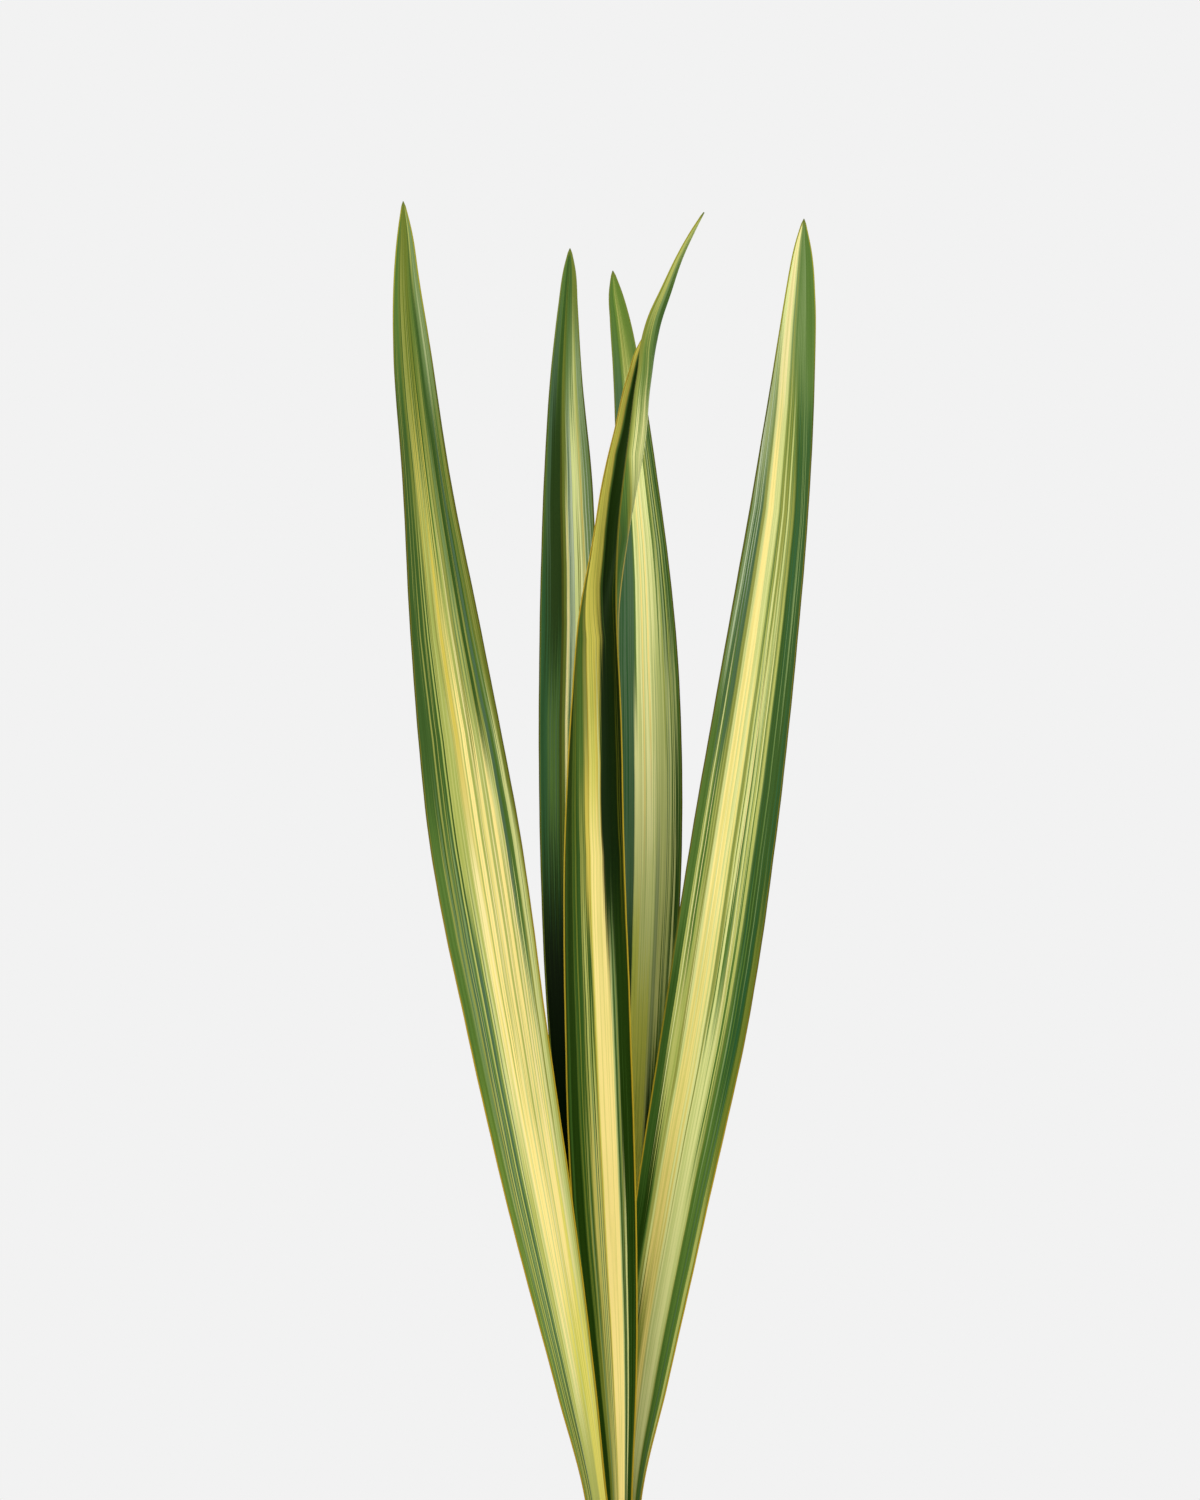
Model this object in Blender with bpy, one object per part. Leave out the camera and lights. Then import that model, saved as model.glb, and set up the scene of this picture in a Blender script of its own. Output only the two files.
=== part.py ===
# Potted New Zealand flax: five striped sword leaves standing in the soil of a plain clay pot.
# The pot's bottom centre is the origin, Z is up, and the leaves' upper faces look towards -Y.

import math

import bmesh
import bpy
import numpy as np
from mathutils import Vector

MM = 0.001
GAP = 0.3 * MM

# Pot
POT_HEIGHT = 190 * MM
POT_TOP_RADIUS = 100 * MM
POT_FOOT_RADIUS = 71 * MM
RIM_HEIGHT = 34 * MM
RIM_PROUD = 6 * MM
WALL = 7 * MM
POT_FLOOR = 10 * MM
LIP_ROUND = 3 * MM
FOOT_ROUND = 3 * MM
DRAIN_COUNT = 3
DRAIN_RADIUS = 6.5 * MM
DRAIN_RING = 38 * MM
DRAIN_SIDES = 16
POT_SIDES = 48
ARC_STEPS = 3

# Soil
SOIL_TOP = 170 * MM
SOIL_CROWN = 3 * MM
SOIL_ROUGH = 1.2 * MM
SOIL_RINGS = 5

# Leaf blades
MARGIN_THICK = 0.8 * MM
KEEL_THICK = 1.8 * MM
BASE_EXTRA_THICK = 0.5 * MM
BASE_EXTRA_TOP = 300 * MM
KEEL_FOLD = math.radians(12)
KEEL_FOLD_REACH = 0.06
ROWS_PER_STATION = 3
SECTION_STEPS = 48
SLOT_TOP = 200 * MM

# Each leaf is a list of stations from its buried end to its tip. A station holds, in millimetres and
# degrees: height, keel to the right, keel to the back, half the blade's width along its surface,
# turn, left bend and right bend. The turn swings the upper face from the front to the left. A bend
# is the angle through which that half curls forwards between the keel and its margin.
LEAF_LEFT = (
    (130, -3.5, -10.0, 9.0, 0, 12, 12),
    (170, -3.5, -10.0, 9.0, 0, 12, 12),
    (235, -11.0, -11.5, 6.4, 3, 14, 14),
    (300, -22.0, -17.0, 12.0, 8, 20, 20),
    (400, -40.0, -27.0, 20.2, 12, 28, 28),
    (500, -58.0, -36.0, 25.3, 12, 30, 30),
    (600, -74.3, -45.0, 28.6, 12, 30, 30),
    (700, -89.0, -53.0, 23.0, 12, 30, 30),
    (800, -102.5, -61.0, 15.0, 10, 30, 30),
    (860, -109.5, -66.0, 12.2, 8, 28, 28),
    (900, -113.0, -69.5, 8.5, 6, 24, 24),
    (925, -114.0, -71.5, 4.7, 4, 20, 20),
    (942, -115.0, -73.0, 0.6, 0, 12, 12),
)
LEAF_RIGHT = (
    (130, 3.5, 0.0, 9.0, 0, 12, 12),
    (170, 3.5, 0.0, 9.0, 0, 12, 12),
    (235, 6.6, 0.5, 7.1, -4, 14, 14),
    (300, 12.5, 2.5, 16.0, -8, 20, 20),
    (400, 28.2, 6.0, 23.0, -12, 28, 28),
    (500, 46.5, 10.0, 27.2, -12, 30, 30),
    (600, 62.0, 15.0, 27.0, -12, 30, 30),
    (700, 76.2, 21.0, 23.6, -16, 30, 30),
    (800, 89.5, 29.0, 18.5, -20, 30, 30),
    (860, 96.7, 35.0, 14.5, -20, 28, 28),
    (900, 101.0, 39.0, 10.8, -18, 24, 24),
    (925, 103.2, 42.0, 6.6, -12, 20, 20),
    (944, 104.5, 44.0, 0.6, 0, 12, 12),
)
LEAF_BACK_LEFT = (
    (130, -2.0, 10.0, 9.0, 0, 12, 12),
    (170, -2.0, 10.0, 9.0, 0, 12, 12),
    (235, -3.5, 12.0, 7.0, 0, 14, 14),
    (300, -9.0, 19.0, 9.5, 0, 18, 18),
    (400, -17.5, 31.0, 13.0, 2, 24, 24),
    (500, -24.0, 44.0, 16.0, 3, 25, 25),
    (600, -26.6, 57.0, 17.8, 3, 25, 25),
    (700, -27.0, 71.0, 17.9, 2, 25, 25),
    (800, -27.4, 85.0, 15.0, 0, 25, 25),
    (860, -28.5, 93.0, 10.0, 0, 22, 22),
    (900, -27.5, 98.5, 6.2, 0, 20, 20),
    (920, -26.7, 101.0, 3.7, 0, 16, 16),
    (933, -26.4, 103.0, 0.6, 0, 12, 12),
)
LEAF_BACK_RIGHT = (
    (130, 1.5, 5.0, 9.0, 0, 12, 12),
    (170, 1.5, 5.0, 9.0, 0, 12, 12),
    (235, 3.5, 6.5, 6.5, 0, 14, 14),
    (300, 6.0, 12.0, 9.0, 0, 18, 18),
    (400, 10.5, 21.0, 13.5, -3, 24, 24),
    (500, 14.8, 30.0, 17.2, -4, 25, 25),
    (600, 18.0, 39.0, 19.7, -4, 25, 25),
    (700, 17.3, 48.0, 17.8, -4, 25, 25),
    (800, 11.0, 56.0, 12.6, -3, 25, 25),
    (860, 5.5, 61.0, 8.8, 0, 22, 22),
    (890, 1.6, 63.5, 6.6, 2, 20, 20),
    (904, -0.6, 65.0, 4.0, 2, 16, 16),
    (917, -2.2, 66.0, 0.6, 0, 12, 12),
)
LEAF_CENTRE = (
    (130, 0.0, -5.0, 9.0, 0, 12, 12),
    (170, 0.0, -5.0, 9.0, 0, 12, 12),
    (235, 0.8, -5.5, 8.1, 0, 14, 14),
    (300, -1.7, -9.0, 13.8, 0, 24, 24),
    (400, -7.2, -14.0, 20.5, 0, 35, 35),
    (500, -12.0, -19.0, 22.4, -7, 45, 45),
    (600, -14.7, -23.0, 22.0, -10, 55, 55),
    (675, -11.0, -26.0, 21.5, -2, 68, 80),
    (713, -9.0, -27.0, 20.5, 2, 78, 95),
    (763, 1.2, -28.0, 19.5, 18, 85, 130),
    (822, 14.3, -29.5, 17.5, 46, 70, 138),
    (841, 16.0, -30.0, 15.5, 48, 80, 140),
    (854, 18.3, -30.0, 14.0, 58, 85, 130),
    (867, 21.2, -30.5, 12.7, 80, 70, 100),
    (880, 24.2, -31.0, 11.8, 100, 45, 60),
    (895, 29.0, -31.5, 10.0, 112, 40, 45),
    (916, 35.8, -32.0, 5.6, 112, 35, 35),
    (929, 41.8, -32.5, 3.3, 112, 25, 25),
    (940, 47.5, -33.0, 0.6, 112, 12, 12),
)

# Name, stations, columns across one face and colour of each leaf
LEAVES = (
    ("leaf_left", LEAF_LEFT, 8, (0.46, 0.50, 0.13)),
    ("leaf_back_left", LEAF_BACK_LEFT, 8, (0.10, 0.19, 0.06)),
    ("leaf_centre", LEAF_CENTRE, 12, (0.52, 0.50, 0.14)),
    ("leaf_back_right", LEAF_BACK_RIGHT, 8, (0.42, 0.47, 0.18)),
    ("leaf_right", LEAF_RIGHT, 8, (0.40, 0.45, 0.12)),
)


def clear_scene():
    """Empty the file of the objects it opens with."""
    for thing in list(bpy.data.objects):
        bpy.data.objects.remove(thing)


def finish_material(name, colour, roughness):
    """A plain non-metal finish of one colour."""
    material = bpy.data.materials.new(name)
    material.use_nodes = True
    shader = material.node_tree.nodes["Principled BSDF"]
    shader.inputs["Base Color"].default_value = (*colour, 1.0)
    shader.inputs["Roughness"].default_value = roughness
    shader.inputs["Metallic"].default_value = 0.0
    return material


def add_mesh(name, corners, faces, material=None):
    """One object from corner places and face lists, with its faces turned outwards."""
    mesh = bpy.data.meshes.new(name)
    mesh.from_pydata([tuple(map(float, corner)) for corner in corners], [], faces)
    shell = bmesh.new()
    shell.from_mesh(mesh)
    bmesh.ops.recalc_face_normals(shell, faces=shell.faces)
    shell.to_mesh(mesh)
    shell.free()
    if material:
        mesh.materials.append(material)
    thing = bpy.data.objects.new(name, mesh)
    bpy.context.scene.collection.objects.link(thing)
    return thing


def cut_away(body, cutters):
    """Take the cutters out of the body for good."""
    for cutter in cutters:
        cutter.hide_render = True
        cutter.display_type = "WIRE"
        cut = body.modifiers.new(cutter.name, "BOOLEAN")
        cut.operation = "DIFFERENCE"
        cut.solver = "EXACT"
        cut.object = cutter
    bpy.context.view_layer.update()
    evaluated = body.evaluated_get(bpy.context.evaluated_depsgraph_get())
    finished = bpy.data.meshes.new_from_object(evaluated)
    body.modifiers.clear()
    body.data = finished
    for cutter in cutters:
        bpy.data.objects.remove(cutter)


def arc(centre_radius, centre_height, radius, start, end):
    """Profile points on an arc, from the start angle to the end angle in degrees."""
    angles = [math.radians(start + (end - start) * step / ARC_STEPS) for step in range(ARC_STEPS + 1)]
    return [(centre_radius + radius * math.cos(a), centre_height + radius * math.sin(a)) for a in angles]


def turned(name, profile, material):
    """A closed body turned about the Z axis from a profile of (radius, height), flat at both ends."""
    corners, rings = [], []
    for radius, height in profile:
        rings.append(list(range(len(corners), len(corners) + POT_SIDES)))
        for side in range(POT_SIDES):
            angle = 2 * math.pi * side / POT_SIDES
            corners.append((radius * math.cos(angle), radius * math.sin(angle), height))
    faces = [tuple(rings[0]), tuple(rings[-1])]
    for lower, upper in zip(rings, rings[1:]):
        for side in range(POT_SIDES):
            after = (side + 1) % POT_SIDES
            faces.append((lower[side], lower[after], upper[after], upper[side]))
    return add_mesh(name, corners, faces, material)


def outer_radius(height):
    """The pot's tapering outside, without its rim."""
    return POT_FOOT_RADIUS + (POT_TOP_RADIUS - POT_FOOT_RADIUS) * height / POT_HEIGHT


def inner_radius(height):
    """The pot's tapering inside."""
    return outer_radius(height) - WALL


def build_pot():
    """A tapering clay pot with a thick rim, rounded edges and drain holes beside its solid centre."""
    rim_bottom = POT_HEIGHT - RIM_HEIGHT
    rim_radius = POT_TOP_RADIUS + RIM_PROUD
    profile = arc(outer_radius(FOOT_ROUND) - FOOT_ROUND, FOOT_ROUND, FOOT_ROUND, -90, 0)
    profile += [(outer_radius(rim_bottom), rim_bottom)]
    profile += arc(rim_radius - LIP_ROUND, rim_bottom + LIP_ROUND, LIP_ROUND, -60, 0)
    profile += arc(rim_radius - LIP_ROUND, POT_HEIGHT - LIP_ROUND, LIP_ROUND, 0, 90)
    inside_top = inner_radius(POT_HEIGHT)
    profile += arc(inside_top + LIP_ROUND, POT_HEIGHT - LIP_ROUND, LIP_ROUND, 90, 180)
    profile += [(inner_radius(POT_FLOOR), POT_FLOOR)]
    pot = turned("pot", profile, finish_material("clay", (0.62, 0.29, 0.17), 0.85))
    drains = []
    for count in range(DRAIN_COUNT):
        angle = 2 * math.pi * (count + 0.5) / DRAIN_COUNT
        drain = bmesh.new()
        bmesh.ops.create_cone(drain, cap_ends=True, segments=DRAIN_SIDES, radius1=DRAIN_RADIUS,
                              radius2=DRAIN_RADIUS, depth=4 * POT_FLOOR)
        mesh = bpy.data.meshes.new("drain")
        drain.to_mesh(mesh)
        drain.free()
        cutter = bpy.data.objects.new(f"drain_{count}", mesh)
        cutter.location = Vector((math.cos(angle), math.sin(angle), 0)) * DRAIN_RING
        bpy.context.scene.collection.objects.link(cutter)
        drains.append(cutter)
    cut_away(pot, drains)
    return pot


def soil_height(x, y):
    """The soil's surface: a low mound with slow unevenness."""
    reach = math.hypot(x, y) / inner_radius(SOIL_TOP)
    rough = math.sin(x / MM / 11 + 0.7) * math.cos(y / MM / 14) + math.sin(y / MM / 8 - x / MM / 19)
    return SOIL_TOP + SOIL_CROWN * (1 - 2 * reach * reach) + SOIL_ROUGH * rough / 2


def build_soil():
    """The soil that fills the pot to below its rim, with a plain slot for each leaf."""
    bottom = POT_FLOOR + GAP
    top_edge = inner_radius(SOIL_TOP - 2 * SOIL_CROWN) - GAP
    corners = [(0, 0, bottom), (0, 0, soil_height(0, 0))]
    rings = []
    radii = [inner_radius(bottom) - GAP] + [top_edge * ring / SOIL_RINGS for ring in range(SOIL_RINGS, 0, -1)]
    for number, radius in enumerate(radii):
        rings.append(range(len(corners), len(corners) + POT_SIDES))
        for side in range(POT_SIDES):
            angle = 2 * math.pi * side / POT_SIDES
            x, y = radius * math.cos(angle), radius * math.sin(angle)
            corners.append((x, y, bottom if number == 0 else soil_height(x, y)))
    faces = []
    for side in range(POT_SIDES):
        after = (side + 1) % POT_SIDES
        faces.append((0, rings[0][after], rings[0][side]))
        faces.append((1, rings[-1][side], rings[-1][after]))
        for lower, upper in zip(rings, rings[1:]):
            faces.append((lower[side], lower[after], upper[after]))
            faces.append((lower[side], upper[after], upper[side]))
    soil = add_mesh("soil", corners, faces, finish_material("soil", (0.055, 0.036, 0.024), 0.95))
    slots = [blade(f"slot_{name}", stations, columns, grow=GAP, top=SLOT_TOP)
             for name, stations, columns, _ in LEAVES]
    cut_away(soil, slots)
    return soil


def smooth_rows(stations):
    """Rows along a smooth curve through the stations, a few to each station."""
    points = np.array(stations, dtype=float)
    steps = np.linalg.norm(np.diff(points[:, :3], axis=0), axis=1)
    knots = np.concatenate([[0.0], np.cumsum(steps)])
    slopes = np.gradient(points, knots, axis=0)
    rows = []
    for start in range(len(points) - 1):
        length = knots[start + 1] - knots[start]
        for step in range(ROWS_PER_STATION):
            t = step / ROWS_PER_STATION
            rows.append((2 * t**3 - 3 * t**2 + 1) * points[start]
                        + (t**3 - 2 * t**2 + t) * length * slopes[start]
                        + (3 * t**2 - 2 * t**3) * points[start + 1]
                        + (t**3 - t**2) * length * slopes[start + 1])
    rows.append(points[-1])
    rows = np.array(rows)
    rows[:, :4] *= MM
    rows[:, 4:] = np.radians(rows[:, 4:])
    return rows


def half_curve(half, heading, turning):
    """One half of a section from the keel out: places across and forwards, heading as it curls."""
    s = np.linspace(0, 1, SECTION_STEPS + 1)
    angle = heading + math.copysign(1, turning) * KEEL_FOLD * np.tanh(s / KEEL_FOLD_REACH) + turning * s
    middle = (angle[1:] + angle[:-1]) / 2
    across = np.concatenate([[0], np.cumsum(-np.sin(middle))]) * half / SECTION_STEPS
    forward = np.concatenate([[0], np.cumsum(np.cos(middle))]) * half / SECTION_STEPS
    return np.stack([across, forward], axis=1)


def section(row, columns, grow):
    """The upper and lower faces of one cross section, as places across and forwards of the keel."""
    height, _, _, half, turn, left_bend, right_bend = row
    left = half_curve(half, turn + math.pi / 2, -left_bend)
    right = half_curve(half, turn - math.pi / 2, right_bend)
    curve = np.concatenate([left[:0:-1], right])
    along = np.gradient(curve, axis=0)
    along /= np.linalg.norm(along, axis=1)[:, None]
    picked = np.linspace(0, 2 * SECTION_STEPS, columns + 1).round().astype(int)
    side = np.abs(picked / SECTION_STEPS - 1)
    curve, along = curve[picked], along[picked]
    curve[0] -= along[0] * grow
    curve[-1] += along[-1] * grow
    base = max(0.0, 1 - height / BASE_EXTRA_TOP)
    thick = MARGIN_THICK + (KEEL_THICK - MARGIN_THICK) * (1 - side)**2 + BASE_EXTRA_THICK * base
    thick *= min(1.0, 0.4 + half / (10 * MM))
    thick = np.maximum(thick, 0.65 * MM)
    normal = np.stack([-along[:, 1], along[:, 0]], axis=1) * (thick / 2 + grow)[:, None]
    return curve + normal, curve - normal


def blade(name, stations, columns, material=None, grow=0.0, top=None):
    """One leaf blade as a closed body; grow makes it thicker and wider all round, top cuts it short."""
    rows = smooth_rows(stations)
    rows[0, 0] -= grow
    if top:
        rows = rows[rows[:, 0] < top]
    keel = np.stack([rows[:, 1], rows[:, 2], rows[:, 0]], axis=1)
    corners = []
    for row, place, tangent in zip(rows, keel, np.gradient(keel, axis=0)):
        tangent = Vector(tangent).normalized()
        facing = Vector((0, -1, 0))
        facing = (facing - tangent * facing.dot(tangent)).normalized()
        across = tangent.cross(facing)
        for face in section(row, columns, grow):
            corners += [Vector(place) + across * float(x) + facing * float(f) for x, f in face]
    width = columns + 1
    last = 2 * width * (len(rows) - 1)
    faces = []

    def two(a, b, c, d):
        faces.extend([(a, b, c), (a, c, d)])

    for row in range(len(rows) - 1):
        low, high = 2 * width * row, 2 * width * (row + 1)
        for c in range(columns):
            two(low + c, low + c + 1, high + c + 1, high + c)
            two(low + width + c, low + width + c + 1, high + width + c + 1, high + width + c)
        for c in (0, columns):
            two(low + c, low + width + c, high + width + c, high + c)
    for end in (0, last):
        for c in range(columns):
            two(end + c, end + c + 1, end + width + c + 1, end + width + c)
    return add_mesh(name, corners, faces, material)


def build_leaves():
    """Five separate blades, nested one behind another where they enter the soil."""
    for name, stations, columns, colour in LEAVES:
        blade(name, stations, columns, finish_material(name, colour, 0.45))


def main():
    clear_scene()
    pot = build_pot()
    pot.data.shade_smooth()
    pot.data.set_sharp_from_angle(angle=math.radians(30))
    build_soil()
    build_leaves()


main()
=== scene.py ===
# Potted New Zealand flax: fine striped leaves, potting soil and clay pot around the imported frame.
import math
from collections import namedtuple

import bmesh
import bpy
import numpy as np
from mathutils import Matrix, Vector, noise


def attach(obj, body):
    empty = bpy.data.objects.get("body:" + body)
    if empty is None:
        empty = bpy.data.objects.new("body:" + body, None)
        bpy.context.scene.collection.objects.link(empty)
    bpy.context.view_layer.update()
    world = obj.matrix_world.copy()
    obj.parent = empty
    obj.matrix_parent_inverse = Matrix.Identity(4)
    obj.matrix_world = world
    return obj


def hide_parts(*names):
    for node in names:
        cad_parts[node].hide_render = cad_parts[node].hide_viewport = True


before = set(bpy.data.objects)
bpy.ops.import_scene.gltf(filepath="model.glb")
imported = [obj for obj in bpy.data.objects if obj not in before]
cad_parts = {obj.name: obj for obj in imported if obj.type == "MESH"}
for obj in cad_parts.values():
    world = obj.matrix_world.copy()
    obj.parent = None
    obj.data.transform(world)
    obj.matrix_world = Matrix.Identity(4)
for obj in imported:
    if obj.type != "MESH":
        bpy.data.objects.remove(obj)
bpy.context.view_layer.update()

MM = 0.001
GAP = 0.3 * MM
SEED = 7

# Camera: level, far away, aimed between the leaves so that the pot lies below the picture
CAMERA_PLACE = (-0.00935, -3.0, 0.6475)
VIEW_HEIGHT = 0.825
SENSOR_HEIGHT = 24.0
CLIP_END = 60.0

# Floor and light: each lamp has a name, a place, a size, a power and a colour
FLOOR_RADIUS = 1.5
FLOOR_SIDES = 96
FLOOR_FADE = (1.35, 0.45)
PALE_GREY = 0.888
AMBIENT = 0.70
LAMP_AIM = (0, 0, 0.55)
LAMPS = (
    ("key", (-1.3, -1.9, 1.9), 1.2, 29.0, (1.0, 0.99, 0.97)),
    ("fill", (1.7, -1.6, 1.1), 1.4, 20.0, (1.0, 0.995, 0.985)),
    ("rim_left", (-1.6, 0.9, 1.3), 0.8, 6.0, (0.97, 0.99, 1.0)),
    ("rim_right", (1.5, 1.2, 1.5), 0.8, 6.0, (1.0, 0.99, 0.96)),
)

# Pot
POT_HEIGHT = 190 * MM
POT_TOP_RADIUS = 100 * MM
POT_FOOT_RADIUS = 71 * MM
RIM_HEIGHT = 34 * MM
RIM_PROUD = 6 * MM
WALL = 7 * MM
POT_FLOOR = 10 * MM
LIP_ROUND = 3 * MM
FOOT_ROUND = 3 * MM
DRAIN_COUNT = 3
DRAIN_RADIUS = 6.5 * MM
DRAIN_RING = 38 * MM
DRAIN_SIDES = 40
POT_SIDES = 192
ARC_STEPS = 8
WALL_STEPS = 46
TURNING_MARK = 0.14 * MM
FINE_TURNING = 1.9
SLOW_TURNING = 0.83
POT_SHARP = math.radians(40)
SALT_RIM = (150 * MM, 186 * MM)
SALT_FOOT = (70 * MM, 10 * MM)
DAMP_FOOT = (30 * MM, 12 * MM)

# Soil
SOIL_TOP = 170 * MM
SOIL_CROWN = 3 * MM
SOIL_ROUGH = 1.2 * MM
SOIL_RINGS = 64
SOIL_SIDES = 160
LUMP_HEIGHT = 2.2 * MM
LUMP_SIZE = 4.5
CRUMB_SIZE = 1.9
SOIL_SHARP = math.radians(50)
LEAF_ROOM = 0.5 * MM
PIECE_SIZES = (0.72, 1.2)
PIECE_TILT = 0.35
BARK_SHADES = 0.85
BARK_KIND = 1.0
GRIT_KIND = 2.0
# What is strewn: how many, smallest and largest size in millimetres, shape and kind
STREWN = (
    (460, (1.4, 5.4), (1.0, 0.55, 0.34), BARK_KIND),
    (150, (0.5, 1.3), (1.0, 0.85, 0.8), GRIT_KIND),
    (60, (3.0, 8.0), (1.0, 0.06, 0.06), BARK_KIND),
)

# Leaf blades
MARGIN_THICK = 0.8 * MM
KEEL_THICK = 1.8 * MM
BASE_EXTRA_THICK = 0.5 * MM
BASE_EXTRA_TOP = 300 * MM
KEEL_FOLD = math.radians(12)
KEEL_FOLD_REACH = 0.06
SLOT_TOP = 200 * MM
RIB_HEIGHT = 0.035 * MM
RIB_WINDOW = np.array([1, 2, 3, 4, 3, 2, 1]) / 8
TIP_ROUND = 1.5 * MM
LEAST_POINT = 0.02
LEAST_THICK = 0.65 * MM
NARROW = 10 * MM
NARROW_THIN = 0.4
BLADE_ROWS = 300
BLADE_COLUMNS = 62
SLOT_ROWS = 200
SLOT_COLUMNS = 7
# The columns nearest the margin, and how thin the blade is there
MARGIN_SHARES = (0.965, 0.978, 0.989, 0.996, 1.0)
MARGIN_THINS = ((0, 0.965, 0.989, 1.0), (1, 1, 0.8, 0.3))
# Slow waves of the margins: radians to a metre, and size as a share of the width
MARGIN_WAVES = ((38.0, 0.0022), (95.0, 0.0018), (260.0, 0.0011))
WAVE_SHIFT = 6.3

# Leaf colour. Rates stretch a noise across and along the blade. A pair of heights or widths gives
# where a change starts and where it ends.
STRIPE_TOP = 950 * MM
STRIPE_END = 30 * MM
UNDER_WIDTH = 1.4
UNDER_SEED = 50
LINE_SEED = 20
LINE_RATES = (46.0, 3.0)
LINE_SIZE = 0.75
LINE_SIZE_STEP = 0.07
LINE_SIZES = 9
LINE_REACH = 0.32
LINE_SOFT = 0.025
SWAY_RATES = (9.0, 26.0)
SWAY = 0.012
FRAY_RATE = 85.0
FRAY = 180 * MM
VEIN_RATES = (44.0, 4.0)
VEIN_LEVELS = (0.58, 0.34)
VEIN_SHADE = (0.80, 0.85, 0.74)
VEIN_DEPTH = 0.05 * MM
CLOUD_RATES = (7.0, 14.0)
CLOUD_LEVELS = (0.45, 0.75)
CLOUD_SHADE = (0.90, 0.93, 0.84)
MARGIN_CHANGE = 80 * MM
MARGIN_EDGE = (0.65 * MM, 0.35 * MM)
BRONZE_EDGE = (1.0 * MM, 0.55 * MM)
BRONZE_TOP = (840 * MM, 790 * MM)
GOLD_TIP = (110 * MM, 40 * MM)
DRY_TIP = (6 * MM, 1 * MM)
SHEEN = 0.13
SHEEN_RISE = (420 * MM, 640 * MM)
SHEEN_TINT = (0.8, 1.0, 0.6, 1.0)
LEAF_ROUGHNESS = 0.5

# Each leaf is a list of stations from its buried end to its tip. A station holds, in millimetres and
# degrees: height, keel to the right, keel to the back, half the blade's width along its surface,
# turn, left bend and right bend. The turn swings the upper face from the front to the left. A bend
# is the angle through which that half curls forwards between the keel and its margin.
LEAF_LEFT = (
    (130, -3.5, -10, 9, 0, 12, 12),
    (170, -3.5, -10, 9, 0, 12, 12),
    (235, -11, -11.5, 6.4, 3, 14, 14),
    (300, -22, -17, 12, 8, 20, 20),
    (400, -40, -27, 20.2, 12, 28, 28),
    (500, -58, -36, 25.3, 12, 30, 30),
    (600, -74.3, -45, 28.6, 12, 30, 30),
    (700, -89, -53, 23, 12, 30, 30),
    (800, -102.5, -61, 14.5, 10, 30, 30),
    (860, -109.5, -66, 11.5, 8, 28, 28),
    (900, -113, -69.5, 7.6, 6, 24, 24),
    (925, -114, -71.5, 4.3, 4, 20, 20),
    (942, -115, -73, 0.6, 0, 12, 12),
)
LEAF_RIGHT = (
    (130, 3.5, 0, 9, 0, 12, 12),
    (170, 3.5, 0, 9, 0, 12, 12),
    (235, 6.6, 0.5, 7.1, -4, 14, 14),
    (300, 12.5, 2.5, 16, -8, 20, 20),
    (400, 28.2, 6, 23, -12, 28, 28),
    (500, 46.5, 10, 27.2, -12, 30, 30),
    (600, 62, 15, 27, -12, 30, 30),
    (700, 76.2, 21, 23.6, -16, 30, 30),
    (800, 89.5, 29, 18.5, -20, 30, 30),
    (860, 96.7, 35, 13.8, -20, 28, 28),
    (900, 101, 39, 9.8, -18, 24, 24),
    (925, 103.2, 42, 5.8, -12, 20, 20),
    (944, 104.5, 44, 0.6, 0, 12, 12),
)
LEAF_BACK_LEFT = (
    (130, -2, 10, 9, 0, 12, 12),
    (170, -2, 10, 9, 0, 12, 12),
    (235, -3.5, 12, 7, 0, 14, 14),
    (300, -9, 19, 9.5, 0, 18, 18),
    (400, -17.5, 31, 13, 2, 24, 24),
    (500, -24, 44, 16, 3, 25, 25),
    (600, -26.6, 57, 17.8, 3, 25, 25),
    (700, -27, 71, 17.9, 2, 25, 25),
    (800, -27.4, 85, 15, 0, 25, 25),
    (860, -28.5, 93, 9.6, 0, 22, 22),
    (900, -27.5, 98.5, 5.9, 0, 20, 20),
    (920, -26.7, 101, 3.7, 0, 16, 16),
    (933, -26.4, 103, 0.6, 0, 12, 12),
)
LEAF_BACK_RIGHT = (
    (130, 1.5, 5, 9, 0, 12, 12),
    (170, 1.5, 5, 9, 0, 12, 12),
    (235, 3.5, 6.5, 6.5, 0, 14, 14),
    (300, 6, 12, 9, 0, 18, 18),
    (400, 10.5, 21, 13.5, -3, 24, 24),
    (500, 14.8, 30, 17.2, -4, 25, 25),
    (600, 18, 39, 19.7, -4, 25, 25),
    (700, 16.7, 48, 18.5, -4, 25, 25),
    (800, 11, 56, 12.6, -3, 25, 25),
    (860, 5.6, 61, 8.3, 0, 22, 22),
    (890, 1.7, 63.5, 5.9, 2, 20, 20),
    (904, -0.6, 65, 4, 2, 16, 16),
    (917, -2.2, 66, 0.6, 0, 12, 12),
)
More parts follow.
